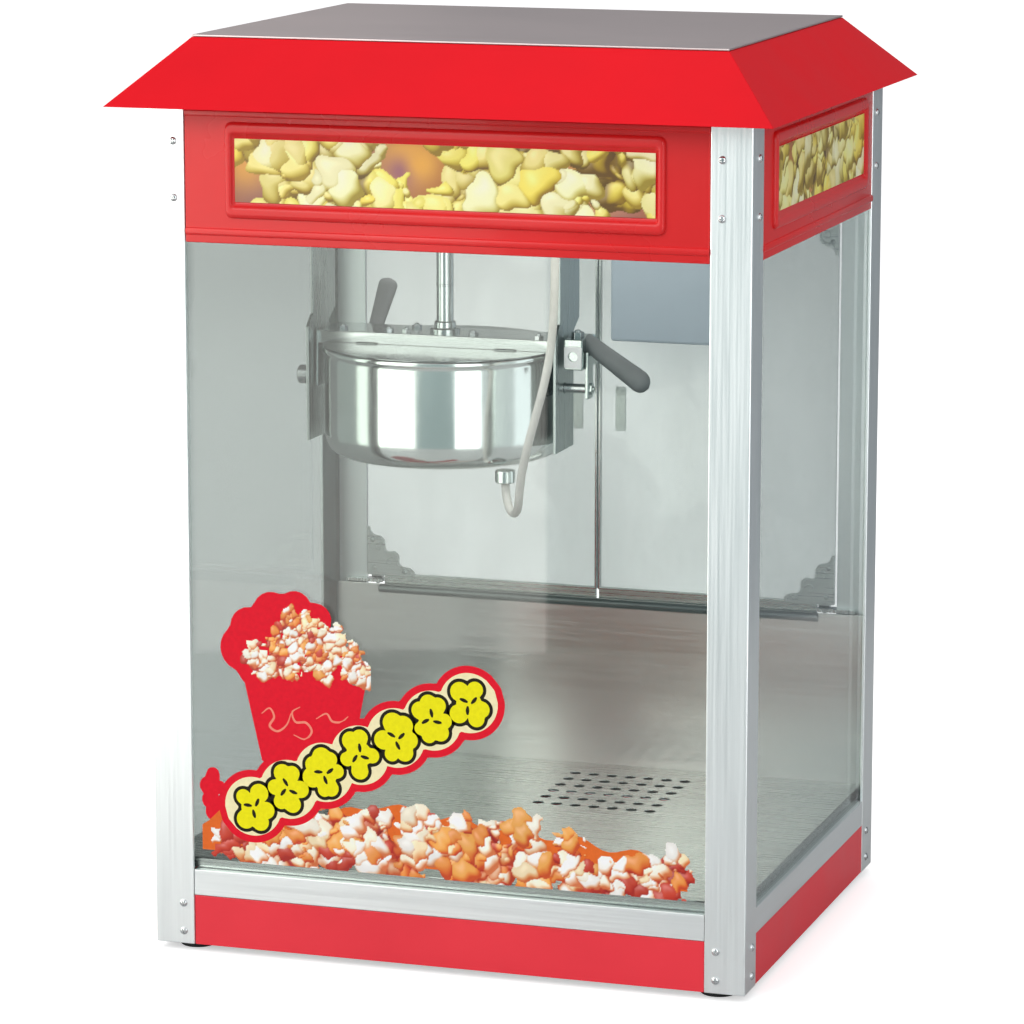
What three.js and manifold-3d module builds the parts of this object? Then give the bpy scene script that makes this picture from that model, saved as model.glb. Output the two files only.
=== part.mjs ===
// Countertop popcorn machine: a glazed aluminium cabinet with a hanging, tilting kettle.
// Millimetres, +Z up. Origin at the middle of the footprint, on the surface it stands on.
// +X is right as the customer sees it, -Y is the customer side, +Y is the operator side.

import * as THREE from 'three';
import { mergeVertices } from 'three/addons/utils/BufferGeometryUtils.js';
import Module from 'manifold-3d';

const wasm = await Module();
wasm.setup();

// ---- driving dimensions ----------------------------------------------------
const WIDTH = 510;
const DEPTH = 428;
const GAP = 0.4;

const FOOT_HEIGHT = 6;
const FOOT_RADIUS = 16;
const FOOT_INSET_X = 28;
const FOOT_INSET_Y = 24;
const POST_LEG = 34;
const POST_WALL = 3;
const POST_TOP = 706;

const PANEL_WALL = 1.5;
const PANEL_TOP = 48.4;
const RAIL_TOP = 70.6;
const RAIL_WALL = 2;
const RAIL_FLANGE = 17;
const DECK_Z = 80;
const SHEET = 1.5;

const GLASS = 4;
const GLASS_TOP = 606;
const HEADER_BOTTOM = 597;
const HEADER_WALL = 2.2;
const CEILING_Z = 600;

const ROOF_TOP = 762.4;
const ROOF_EDGE = 707.6;
const ROOF_OVERHANG_X = 24;
const ROOF_OVERHANG_Y = 30;
const ROOF_FLAT_INSET_X = 28.7;
const ROOF_FLAT_INSET_Y = 32;

const DOOR_BOTTOM = 240;
const DOOR_TOP = 597;
const DOOR_WALL = 4;
const DOOR_FRONT = DEPTH / 2 - 6;
const BACK_PANEL_TOP = 232;

const KETTLE_X = -72;
const KETTLE_RADIUS = 102.5;
const KETTLE_BOTTOM = 397;
const KETTLE_RIM = 489;
const KETTLE_WALL = 1.6;
const TILT_Y = -15;
const TILT_Z = 460;
const BRIDGE_TOP = 500.5;
const BRIDGE_HALF = 25;
const HANGER_INSIDE = 109;
const HANGER_WALL = 2.5;

const HOLES_X = 7;
const HOLES_Y = 6;
const HOLE_PITCH_X = 17;
const HOLE_PITCH_Y = 22;
const HOLE_RADIUS = 5;
const HOLES_FIRST_X = -6;
const HOLES_FIRST_Y = 54;

const DRAWER_X = 45;
const DRAWER_HALF = 68;
const DRAWER_BOTTOM = 8.3;
const DRAWER_TOP = 42;
const DRAWER_FRONT_Y = -20;

const HALF_W = WIDTH / 2;
const HALF_D = DEPTH / 2;
const BETWEEN_X = HALF_W - POST_LEG - GAP;
const BETWEEN_Y = HALF_D - POST_LEG - GAP;
const INSIDE_X = HALF_W - POST_WALL - GAP;
const INSIDE_Y = HALF_D - POST_WALL - GAP;
const CLEAR_X = INSIDE_X - GLASS - GAP;
const CLEAR_Y = INSIDE_Y - GLASS - GAP;

// ---- finishes --------------------------------------------------------------
const finish = (color, roughness, metalness, opacity = 1) => ({
  color, roughness, metalness, opacity, transparent: opacity < 1,
});
const ALUMINIUM = finish(0xdfe5e8, 0.35, 0.9);
const STEEL = finish(0xb9bfc0, 0.3, 1);
const POLISHED = finish(0xd4d8d9, 0.12, 1);
const RED_PAINT = finish(0xe11e27, 0.35, 0);
const RED_PLASTIC = finish(0xe9393d, 0.3, 0);
const GLAZING = finish(0xdfece9, 0.05, 0, 0.3);
const ACRYLIC = finish(0xe6ecea, 0.25, 0, 0.6);
const PRINT = finish(0xf2d64a, 0.4, 0);
const RUBBER = finish(0x1b1b1d, 0.8, 0);
const BLACK = finish(0x2a2c2e, 0.5, 0);
const GREY_BOX = finish(0x93a0ab, 0.45, 0.2);
const LEAD = finish(0xd8d6d0, 0.7, 0);

const machine = new THREE.Group();

function add(name, look, geometry, parent = machine) {
  const mesh = new THREE.Mesh(geometry, new THREE.MeshStandardMaterial(look));
  mesh.name = name;
  parent.add(mesh);
  return mesh;
}

// ---- shape helpers ---------------------------------------------------------
function box(x, y, z) {
  const shape = new THREE.BoxGeometry(x[1] - x[0], y[1] - y[0], z[1] - z[0]);
  return shape.translate((x[0] + x[1]) / 2, (y[0] + y[1]) / 2, (z[0] + z[1]) / 2);
}

function cylinderZ(radius, x, y, z, sides = 16) {
  const shape = new THREE.CylinderGeometry(radius, radius, z[1] - z[0], sides);
  return shape.rotateX(Math.PI / 2).translate(x, y, (z[0] + z[1]) / 2);
}

function cylinderX(radius, x, y, z, sides = 16) {
  const shape = new THREE.CylinderGeometry(radius, radius, x[1] - x[0], sides);
  return shape.rotateZ(Math.PI / 2).translate((x[0] + x[1]) / 2, y, z);
}

function outline(points) {
  return new THREE.Shape(points.map(([a, b]) => new THREE.Vector2(a, b)));
}

// An outline in X and Y, raised from z[0] to z[1].
function prismZ(shape, z, curveSegments = 12) {
  const body = new THREE.ExtrudeGeometry(shape, {
    depth: z[1] - z[0], bevelEnabled: false, curveSegments,
  });
  return body.translate(0, 0, z[0]);
}

// An outline in Y and Z, pushed along X from x[0] to x[1].
function prismX(shape, x) {
  const body = new THREE.ExtrudeGeometry(shape, { depth: x[1] - x[0], bevelEnabled: false });
  const turn = new THREE.Matrix4().makeBasis(
    new THREE.Vector3(0, 1, 0), new THREE.Vector3(0, 0, 1), new THREE.Vector3(1, 0, 0));
  return body.applyMatrix4(turn).translate(x[0], 0, 0);
}

// An outline in X and Z, pushed along Y from y[0] to y[1].
function prismY(shape, y) {
  const body = new THREE.ExtrudeGeometry(shape, { depth: y[1] - y[0], bevelEnabled: false });
  return body.rotateX(Math.PI / 2).translate(0, y[1], 0);
}

function roundedRect(x, y, radius) {
  const shape = new THREE.Shape();
  shape.moveTo(x[0] + radius, y[0]);
  shape.lineTo(x[1] - radius, y[0]);
  shape.absarc(x[1] - radius, y[0] + radius, radius, -Math.PI / 2, 0);
  shape.lineTo(x[1], y[1] - radius);
  shape.absarc(x[1] - radius, y[1] - radius, radius, 0, Math.PI / 2);
  shape.lineTo(x[0] + radius, y[1]);
  shape.absarc(x[0] + radius, y[1] - radius, radius, Math.PI / 2, Math.PI);
  shape.lineTo(x[0], y[0] + radius);
  shape.absarc(x[0] + radius, y[0] + radius, radius, Math.PI, Math.PI * 1.5);
  return shape;
}

function tubeAlong(points, radius, steps, sides) {
  const ring = new THREE.Shape();
  for (let i = 0; i < sides; i += 1) {
    const angle = (i / sides) * Math.PI * 2;
    const place = [radius * Math.cos(angle), radius * Math.sin(angle)];
    if (i === 0) {
      ring.moveTo(...place);
    } else {
      ring.lineTo(...place);
    }
  }
  const path = new THREE.CatmullRomCurve3(points.map((p) => new THREE.Vector3(...p)));
  return new THREE.ExtrudeGeometry(ring, { steps, extrudePath: path, bevelEnabled: false });
}

function solid(geometry) {
  const bare = geometry.clone();
  bare.deleteAttribute('normal');
  bare.deleteAttribute('uv');
  const merged = mergeVertices(bare, 1e-4);
  return new wasm.Manifold(new wasm.Mesh({
    numProp: 3,
    vertProperties: new Float32Array(merged.attributes.position.array),
    triVerts: new Uint32Array(merged.index.array),
  }));
}

function geometryOf(manifold) {
  const mesh = manifold.getMesh();
  const geometry = new THREE.BufferGeometry();
  geometry.setAttribute('position', new THREE.BufferAttribute(mesh.vertProperties, 3));
  geometry.setIndex(new THREE.BufferAttribute(mesh.triVerts, 1));
  geometry.computeVertexNormals();
  return geometry;
}

const join = (...pieces) => geometryOf(pieces.map(solid).reduce((a, b) => a.add(b)));

function cut(piece, ...tools) {
  return geometryOf(tools.map(solid).reduce((a, b) => a.subtract(b), solid(piece)));
}

// ---- frame: posts, feet, base ----------------------------------------------
const SIDES = { left: -1, right: 1 };
const ENDS = { front: -1, rear: 1 };

for (const [end, ey] of Object.entries(ENDS)) {
  for (const [side, sx] of Object.entries(SIDES)) {
    const angle = outline([
      [0, 0], [POST_LEG, 0], [POST_LEG, POST_WALL],
      [POST_WALL, POST_WALL], [POST_WALL, POST_LEG], [0, POST_LEG],
    ]);
    const turn = { '-1-1': 0, '1-1': 1, '11': 2, '-11': 3 }[`${sx}${ey}`];
    const post = add(`post_${end}_${side}`, ALUMINIUM, prismZ(angle, [FOOT_HEIGHT, POST_TOP]));
    post.rotation.z = turn * Math.PI / 2;
    post.position.set(sx * HALF_W, ey * HALF_D, 0);

    const rubber = [
      [0, 0], [FOOT_RADIUS - 2, 0], [FOOT_RADIUS, 2], [FOOT_RADIUS - 1, FOOT_HEIGHT], [0, FOOT_HEIGHT],
    ];
    const foot = new THREE.LatheGeometry(rubber.map((p) => new THREE.Vector2(...p)), 20);
    add(`foot_${end}_${side}`, RUBBER, foot.rotateX(Math.PI / 2))
      .position.set(sx * (HALF_W - FOOT_INSET_X), ey * (HALF_D - FOOT_INSET_Y), 0);
  }
}

const PAN_RIM = 6;
const drawerWay = box([DRAWER_X - DRAWER_HALF - 1, DRAWER_X + DRAWER_HALF + 1], [INSIDE_Y - 9, HALF_D + 9],
  [FOOT_HEIGHT + GAP + SHEET, DRAWER_TOP + 1]);
add('base_pan', STEEL, cut(
  box([-INSIDE_X, INSIDE_X], [-INSIDE_Y, INSIDE_Y], [FOOT_HEIGHT + GAP, FOOT_HEIGHT + PAN_RIM]),
  box([SHEET - INSIDE_X, INSIDE_X - SHEET], [SHEET - INSIDE_Y, INSIDE_Y - SHEET],
    [FOOT_HEIGHT + GAP + SHEET, FOOT_HEIGHT + 2 * PAN_RIM]),
  drawerWay));

const OUT = 0.8;
const panelY = [OUT - HALF_D, OUT + PANEL_WALL - HALF_D];
const panelX = [OUT - HALF_W, OUT + PANEL_WALL - HALF_W];
const mirrored = ([low, high]) => [-high, -low];
const panelZ = [FOOT_HEIGHT, PANEL_TOP];
add('base_panel_front', RED_PAINT, box([-BETWEEN_X, BETWEEN_X], panelY, panelZ));
add('base_panel_left', RED_PAINT, box(panelX, [-BETWEEN_Y, BETWEEN_Y], panelZ));
add('base_panel_right', RED_PAINT, box(mirrored(panelX), [-BETWEEN_Y, BETWEEN_Y], panelZ));
add('base_panel_rear', RED_PAINT, cut(
  box([-BETWEEN_X, BETWEEN_X], mirrored(panelY), panelZ), drawerWay));

// Rails are angles: an upright leg between the posts and a ledge that carries the glass.
function railSection() {
  return outline([
    [0, PANEL_TOP + GAP], [RAIL_WALL, PANEL_TOP + GAP], [RAIL_WALL, RAIL_TOP - RAIL_WALL],
    [RAIL_FLANGE, RAIL_TOP - RAIL_WALL], [RAIL_FLANGE, RAIL_TOP], [0, RAIL_TOP],
  ]);
}
for (const [name, half, reach, turn] of [
  ['front', BETWEEN_X, HALF_D, 0], ['right', BETWEEN_Y, HALF_W, 1],
  ['rear', BETWEEN_X, HALF_D, 2], ['left', BETWEEN_Y, HALF_W, 3],
]) {
  const rail = prismX(railSection(), [-half, half]).translate(0, GAP - reach, 0);
  add(`rail_${name}`, ALUMINIUM, rail).rotation.z = turn * Math.PI / 2;
}

// ---- popping chamber: deck, back panel, glass, ceiling ----------------------
const punches = [];
for (let i = 0; i < HOLES_X; i += 1) {
  for (let j = 0; j < HOLES_Y; j += 1) {
    punches.push(cylinderZ(HOLE_RADIUS, HOLES_FIRST_X + i * HOLE_PITCH_X, HOLES_FIRST_Y + j * HOLE_PITCH_Y,
      [DECK_Z - 9, DECK_Z + 9], 8));
  }
}
const DECK_REAR = CLEAR_Y - 4;
const skirtZ = [RAIL_TOP + GAP, DECK_Z - SHEET];
const deckHollow = box([SHEET - CLEAR_X, CLEAR_X - SHEET], [SHEET - CLEAR_Y, DECK_REAR + 9], [0, skirtZ[1]]);
add('deck', STEEL, cut(
  box([-CLEAR_X, CLEAR_X], [-CLEAR_Y, DECK_REAR], [skirtZ[0], DECK_Z]), deckHollow, ...punches));

const BACK_Y = DECK_REAR + GAP;
add('back_panel', POLISHED, join(
  box([-CLEAR_X, CLEAR_X], [BACK_Y, BACK_Y + SHEET], [RAIL_TOP + GAP, BACK_PANEL_TOP]),
  cylinderX(4, [-BETWEEN_X + 14, BETWEEN_X - 14], BACK_Y, BACK_PANEL_TOP - 3)));

const glassZ = [RAIL_TOP + GAP, GLASS_TOP];
add('glass_front', GLAZING, box([-INSIDE_X, INSIDE_X], [-INSIDE_Y, GLASS - INSIDE_Y], glassZ));
const glassSideY = [-CLEAR_Y, INSIDE_Y];
add('glass_left', GLAZING, box([-INSIDE_X, GLASS - INSIDE_X], glassSideY, glassZ));
add('glass_right', GLAZING, box([INSIDE_X - GLASS, INSIDE_X], glassSideY, glassZ));

const LEAD_X = 47;
const LEAD_Y = -66;
const LEAD_RADIUS = 3.5;
const LAMP = [120, -70];
const MOTOR_BORE = 10;
add('ceiling_deck', STEEL, cut(
  box([-CLEAR_X, CLEAR_X], [-CLEAR_Y, CLEAR_Y - 2], [CEILING_Z, CEILING_Z + SHEET]),
  cylinderZ(MOTOR_BORE, KETTLE_X, 0, [CEILING_Z - 9, CEILING_Z + 9]),
  cylinderZ(6.5, LEAD_X, LEAD_Y, [CEILING_Z - 9, CEILING_Z + 9]),
  cylinderZ(36, ...LAMP, [CEILING_Z - 9, CEILING_Z + 9], 24)));

// ---- header: moulded red panels with a picture window -------------------------
const FRAME_OUT = 4;
const WINDOW_Z = [631, 683];
const FRAME_Z = [618, 696];
const FRAME_SIDE = 8;
const RIDGE_OUT = 1.6;
const RIDGE_Z = [603.5, 609];

// The outline runs along the panel's length and up; the panel's outer face is at y = 0.
function headerPanel(half, windowHalf) {
  const frameHalf = windowHalf + FRAME_SIDE;
  const plate = box([-half, half], [0, HEADER_WALL], [HEADER_BOTTOM, POST_TOP - 1]);
  const frame = prismY(roundedRect([-frameHalf, frameHalf], FRAME_Z, 5), [-FRAME_OUT, HEADER_WALL / 2]);
  const ridge = box([-half, half], [-RIDGE_OUT, HEADER_WALL / 2], RIDGE_Z);
  return cut(join(plate, frame, ridge), box([-windowHalf, windowHalf], [-9, 0], WINDOW_Z));
}
function picture(windowHalf) {
  const spanX = [GAP - windowHalf, windowHalf - GAP];
  return box(spanX, [-GAP - 1, -GAP], [WINDOW_Z[0] + GAP, WINDOW_Z[1] - GAP]);
}
const WINDOW_HALF_FRONT = 177;
const WINDOW_HALF_SIDE = 144;
for (const [name, half, windowHalf, reach, turn] of [
  ['front', BETWEEN_X, WINDOW_HALF_FRONT, HALF_D, 0],
  ['right', BETWEEN_Y, WINDOW_HALF_SIDE, HALF_W, 1],
  ['left', BETWEEN_Y, WINDOW_HALF_SIDE, HALF_W, 3],
]) {
  const side = new THREE.Group();
  side.rotation.z = turn * Math.PI / 2;
  machine.add(side);
  const place = (geometry) => geometry.translate(0, GAP - reach, 0);
  add(`header_${name}`, RED_PLASTIC, place(headerPanel(half, windowHalf)), side);
  add(`picture_${name}`, PRINT, place(picture(windowHalf)), side);
}

// The operator's header is plain, with three switches and the mains inlet.
const SWITCHES = { heat_switch: -120, stir_switch: -80, light_switch: -40 };
const SWITCH_Z = 652;
const INLET_X = 120;
const INLET_Z = 640;
const rearY = [HALF_D - GAP - HEADER_WALL, HALF_D - GAP];
add('header_rear', RED_PLASTIC, cut(
  box([-BETWEEN_X, BETWEEN_X], rearY, [HEADER_BOTTOM + 1, POST_TOP - 1]),
  ...Object.values(SWITCHES).map((x) => box([x - 11, x + 11], [HALF_D - 9, HALF_D + 9],
    [SWITCH_Z - 15.5, SWITCH_Z + 15.5])),
  box([INLET_X - 14, INLET_X + 14], [HALF_D - 9, HALF_D + 9], [INLET_Z - 11, INLET_Z + 11])));

add('power_inlet', BLACK, join(
  cut(
    join(
      box([INLET_X - 13.4, INLET_X + 13.4], [HALF_D - 22, HALF_D], [INLET_Z - 10.4, INLET_Z + 10.4]),
      box([INLET_X - 19, INLET_X + 19], [HALF_D, HALF_D + 3], [INLET_Z - 14, INLET_Z + 14])),
    box([INLET_X - 11.5, INLET_X + 11.5], [HALF_D - 14, HALF_D + 9], [INLET_Z - 8, INLET_Z + 8])),
  ...[-7, 0, 7].map((dx) => box([INLET_X + dx - 1, INLET_X + dx + 1], [HALF_D - 15, HALF_D - 3],
    [INLET_Z - 2, INLET_Z + 2]))));

// A rocker turns about a pin along X, just behind the panel.
const ROCKER_Y = HALF_D - 4;
for (const [name, x] of Object.entries(SWITCHES)) {
  const face = outline([
    [ROCKER_Y - 5, SWITCH_Z - 7], [ROCKER_Y + 5, SWITCH_Z - 12.5], [ROCKER_Y + 9.5, SWITCH_Z - 12],
    [ROCKER_Y + 6, SWITCH_Z], [ROCKER_Y + 5.4, SWITCH_Z + 12.5], [ROCKER_Y + 1, SWITCH_Z + 12],
    [ROCKER_Y - 5, SWITCH_Z + 7],
  ]);
  add(name, BLACK, prismX(face, [x - 8.5, x + 8.5]));
}

// ---- roof --------------------------------------------------------------------
function frustum(inset, top) {
  const low = [HALF_W + ROOF_OVERHANG_X - inset, HALF_D + ROOF_OVERHANG_Y - inset];
  const high = [HALF_W - ROOF_FLAT_INSET_X - inset, HALF_D - ROOF_FLAT_INSET_Y - inset];
  const rise = top - ROOF_EDGE;
  const body = new THREE.BoxGeometry(2, 2, rise);
  const corners = body.attributes.position;
  for (let i = 0; i < corners.count; i += 1) {
    const [w, d] = corners.getZ(i) > 0 ? high : low;
    corners.setXY(i, corners.getX(i) * w, corners.getY(i) * d);
  }
  return body.translate(0, 0, (top + ROOF_EDGE) / 2);
}
const ROOF_WALL = 2;
const ROOF_RIM = 12;
const flatX = HALF_W - ROOF_FLAT_INSET_X;
const flatY = HALF_D - ROOF_FLAT_INSET_Y;
const skirtTop = ROOF_TOP - SHEET - GAP;
add('roof_skirt', RED_PAINT, cut(
  frustum(0, skirtTop),
  frustum(ROOF_WALL, skirtTop - ROOF_WALL).translate(0, 0, -0.01),
  box([ROOF_RIM - flatX, flatX - ROOF_RIM], [ROOF_RIM - flatY, flatY - ROOF_RIM],
    [ROOF_EDGE, ROOF_TOP + 9])));
add('roof_top', STEEL, box([-flatX, flatX], [-flatY, flatY], [ROOF_TOP - SHEET, ROOF_TOP]));

// ---- top compartment ------------------------------------------------------------
add('gear_motor', GREY_BOX, join(
  box([KETTLE_X - 34, KETTLE_X + 34], [-40, 40], [CEILING_Z + 3, CEILING_Z + 40]),
  cylinderZ(28, KETTLE_X, 8, [CEILING_Z + 39, CEILING_Z + 92], 24)));

add('lamp_holder', STEEL, join(
  box([LAMP[0] - 55, LAMP[0] - 50], [LAMP[1] - 20, LAMP[1] + 20], [CEILING_Z + 2, CEILING_Z + 50]),
  cylinderX(15, [LAMP[0] - 51, LAMP[0] - 28], LAMP[1], CEILING_Z + 34)));
const bulb = new THREE.CatmullRomCurve3([[0, 0], [13, 1], [13, 12], [24, 32], [24, 42], [14, 55], [0, 59]]
  .map(([r, z]) => new THREE.Vector3(r, z, 0)));
const bulbProfile = bulb.getPoints(14).map((p) => new THREE.Vector2(Math.max(p.x, 0), p.y));
bulbProfile[0].x = 0;
bulbProfile[bulbProfile.length - 1].x = 0;
add('lamp_bulb', finish(0xfff2d0, 0.1, 0), new THREE.LatheGeometry(bulbProfile, 16).rotateZ(-Math.PI / 2))
  .position.set(LAMP[0] - 27.6, LAMP[1], CEILING_Z + 34);

add('control_box', GREY_BOX, box([30, 122], [148, 196], [476, CEILING_Z - GAP]));

// ---- kettle hangers and heater lead -----------------------------------------------
const hangerOutline = outline([
  [-40, 407], [10, 407], [10, 505], [26, 515], [26, CEILING_Z - GAP],
  [-28, CEILING_Z - GAP], [-28, 515], [-40, 505],
]);
for (const [side, sx] of Object.entries(SIDES)) {
  const near = KETTLE_X + sx * HANGER_INSIDE;
  const far = near + sx * HANGER_WALL;
  const span = [Math.min(near, far), Math.max(near, far)];
  add(`hanger_${side}`, STEEL, cut(
    prismX(hangerOutline, span),
    cylinderX(4.6, [span[0] - 5, span[1] + 5], TILT_Y, TILT_Z)));
}

const glandProfile = [
  [LEAD_RADIUS + 0.8, -9], [8, -9], [8, -0.8], [10.5, -0.8], [10.5, -0.4], [6, -0.4], [6, 8],
  [LEAD_RADIUS + 0.8, 8], [LEAD_RADIUS + 0.8, -9],
];
add('lead_gland', BLACK, new THREE.LatheGeometry(glandProfile.map((p) => new THREE.Vector2(...p)), 16)
  .rotateX(Math.PI / 2)).position.set(LEAD_X, LEAD_Y, CEILING_Z);

const LEAD_ROUTE = [
  [47, -66, 606], [47, -66, 590], [47.5, -68, 572], [49, -74, 548], [51, -84, 524], [51.5, -94, 500],
  [49, -102, 476], [44, -107, 452], [38, -109, 428], [32, -107, 404], [27.5, -101, 384],
  [23.5, -93, 370], [17.5, -84, 363.5], [10.5, -76, 366], [6, -70.5, 376], [4.2, -68, 388],
];
add('heater_lead', LEAD, tubeAlong(LEAD_ROUTE, LEAD_RADIUS, 60, 8));

// ---- rear doors -------------------------------------------------------------------
// Each door hangs on pins at its outer edge and swings out to the operator's side.
function cornerPlate() {
  const plate = new THREE.Shape();
  plate.moveTo(0, 0);
  plate.lineTo(44, 0);
  plate.quadraticCurveTo(46, 7, 38, 9);
  plate.quadraticCurveTo(30, 10, 30, 17);
  plate.quadraticCurveTo(30, 23, 24, 23);
  plate.quadraticCurveTo(18, 22, 17, 29);
  plate.quadraticCurveTo(16, 36, 10, 37);
  plate.quadraticCurveTo(4, 39, 3, 45);
  plate.lineTo(0, 45);
  return plate;
}
const PLATE_Y = [DOOR_FRONT - 1.5, DOOR_FRONT - GAP];
const DOOR_EDGE = BETWEEN_X - 1.2;
const DOOR_PIN_INSET = 9;
const DOOR_PIN_Y = DOOR_FRONT + DOOR_WALL / 2;
for (const [side, sx] of Object.entries(SIDES)) {
  const spanX = [sx * 0.6, sx * DOOR_EDGE].sort((a, b) => a - b);
  add(`door_${side}`, ACRYLIC, box(spanX, [DOOR_FRONT, DOOR_FRONT + DOOR_WALL],
    [DOOR_BOTTOM, DOOR_TOP]));
  const plate = prismZ(cornerPlate(), [0, PLATE_Y[1] - PLATE_Y[0]], 5);
  const basis = new THREE.Matrix4().makeBasis(
    new THREE.Vector3(-sx, 0, 0), new THREE.Vector3(0, 0, 1), new THREE.Vector3(0, sx, 0));
  plate.applyMatrix4(basis);
  plate.translate(sx * DOOR_EDGE, sx > 0 ? PLATE_Y[0] : PLATE_Y[1], DOOR_BOTTOM);
  const pinX = sx * (DOOR_EDGE - DOOR_PIN_INSET);
  add(`door_plate_${side}`, POLISHED, join(
    plate,
    box([pinX - 5, pinX + 5], [PLATE_Y[0], DOOR_PIN_Y + 3], [DOOR_BOTTOM - 2.4, DOOR_BOTTOM - GAP]),
    box([pinX - 5, pinX + 5], PLATE_Y, [DOOR_BOTTOM - 2.4, DOOR_BOTTOM + 2]),
    cylinderZ(2, pinX, DOOR_PIN_Y, [DOOR_BOTTOM - 8, DOOR_BOTTOM - 1], 10)));
  const across = (from, to) => [sx * (DOOR_EDGE + from), sx * (DOOR_EDGE + to)].sort((a, b) => a - b);
  const ledgeZ = [DOOR_BOTTOM - 6, DOOR_BOTTOM - 3];
  add(`door_bracket_${side}`, STEEL, cut(
    join(
      box(across(-15, 1), [DOOR_PIN_Y - 7, DOOR_PIN_Y + 5], ledgeZ),
      box(across(0, 20), [DOOR_PIN_Y - 7, INSIDE_Y], ledgeZ),
      box(across(2, 20), [INSIDE_Y - 2.4, INSIDE_Y], [DOOR_BOTTOM - 38, ledgeZ[1]])),
    cylinderZ(2.6, pinX, DOOR_PIN_Y, [DOOR_BOTTOM - 9, DOOR_BOTTOM + 9], 10)));
}

// ---- kettle -----------------------------------------------------------------------
const kettle = new THREE.Group();
kettle.position.x = KETTLE_X;
machine.add(kettle);

const R = KETTLE_RADIUS;
const inner = R - KETTLE_WALL;
const kettleProfile = [
  [0, KETTLE_BOTTOM], [R - 16, KETTLE_BOTTOM], [R - 9, KETTLE_BOTTOM + 2], [R - 3, KETTLE_BOTTOM + 7],
  [R - 0.5, KETTLE_BOTTOM + 14], [R, KETTLE_BOTTOM + 22], [R, KETTLE_RIM - 4], [R + 2, KETTLE_RIM - 3],
  [R + 2, KETTLE_RIM], [inner, KETTLE_RIM], [inner, KETTLE_BOTTOM + 22], [inner - 12, KETTLE_BOTTOM + 11],
  [0, KETTLE_BOTTOM + 10],
];
add('kettle_pan', POLISHED, new THREE.LatheGeometry(kettleProfile.map((p) => new THREE.Vector2(...p)), 48)
  .rotateX(Math.PI / 2), kettle);

// The boss under the pan takes the end of the heater lead.
add('heater_boss', BLACK, cut(
  cylinderZ(8.5, 4.2 - KETTLE_X, -68, [KETTLE_BOTTOM - 11, KETTLE_BOTTOM - GAP]),
  cylinderZ(LEAD_RADIUS + 0.8, 4.2 - KETTLE_X, -68, [KETTLE_BOTTOM - 19, KETTLE_BOTTOM - 6])), kettle);

const EAR_INSIDE = 105.6;
const EAR_WALL = 2;
const TUBE_TOP = 588;
const bridgeZ = [KETTLE_RIM + GAP, BRIDGE_TOP];
const ear = outline([[-27, 452], [-4, 452], [10, BRIDGE_TOP], [-BRIDGE_HALF, BRIDGE_TOP]]);
const earSpan = [EAR_INSIDE, EAR_INSIDE + EAR_WALL];
const earSolids = [prismX(ear, earSpan), prismX(ear, mirrored(earSpan))];
const bridgeBar = join(
  box([-EAR_INSIDE - 1, EAR_INSIDE + 1], [-BRIDGE_HALF, BRIDGE_HALF], [BRIDGE_TOP - 2, BRIDGE_TOP]),
  box([-EAR_INSIDE - 1, EAR_INSIDE + 1], [-BRIDGE_HALF, 1.6 - BRIDGE_HALF], bridgeZ),
  box([-EAR_INSIDE - 1, EAR_INSIDE + 1], [BRIDGE_HALF - 1.6, BRIDGE_HALF], bridgeZ),
  ...earSolids,
  cylinderX(4, [EAR_INSIDE + 1, 131], TILT_Y, TILT_Z),
  cylinderX(4, [-127, -EAR_INSIDE - 1], TILT_Y, TILT_Z),
  cylinderX(8, [-127, -113.5], TILT_Y, TILT_Z),
  cylinderZ(7.25, 0, 0, [BRIDGE_TOP - 1, TUBE_TOP]));
add('kettle_bridge', STEEL, cut(bridgeBar, cylinderZ(5, 0, 0, [BRIDGE_TOP - 9, TUBE_TOP + 9])), kettle);

// Half-moon lids hinge on the bridge's two long edges.
const LID_Z = [KETTLE_RIM + GAP, KETTLE_RIM + GAP + 1.4];
const LID_RADIUS = R + 1.5;
const LID_EDGE = BRIDGE_HALF + 1.4;
function halfMoon(sign) {
  const start = Math.asin(LID_EDGE / LID_RADIUS);
  const moon = new THREE.Shape();
  moon.absarc(0, 0, LID_RADIUS, start, Math.PI - start);
  const body = prismZ(moon, LID_Z, 20);
  return sign > 0 ? body : body.rotateZ(Math.PI);
}
add('lid_front', POLISHED, halfMoon(-1), kettle);
add('lid_rear', POLISHED, halfMoon(1), kettle);

// Grips are flattened rods from one point to another.
function grip(from, to, thin, thick) {
  const a = new THREE.Vector3(...from);
  const b = new THREE.Vector3(...to);
  const shape = new THREE.CylinderGeometry(thick, thin, a.distanceTo(b), 14);
  const turn = new THREE.Quaternion().setFromUnitVectors(
    new THREE.Vector3(0, 1, 0), b.clone().sub(a).normalize());
  shape.applyQuaternion(turn);
  const middle = a.add(b).multiplyScalar(0.5);
  return shape.translate(middle.x, middle.y, middle.z);
}
const LIFTER = [-79, 45, LID_Z[1] + GAP];
add('lid_lifter', BLACK, join(
  box([LIFTER[0] - 18, LIFTER[0] + 5], [LIFTER[1] - 6, LIFTER[1] + 6], [LIFTER[2], LIFTER[2] + 3]),
  grip([LIFTER[0], LIFTER[1], LIFTER[2] + 2.6], [LIFTER[0] + 9, LIFTER[1] + 11, LIFTER[2] + 44], 5.5, 8)),
kettle);

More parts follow.
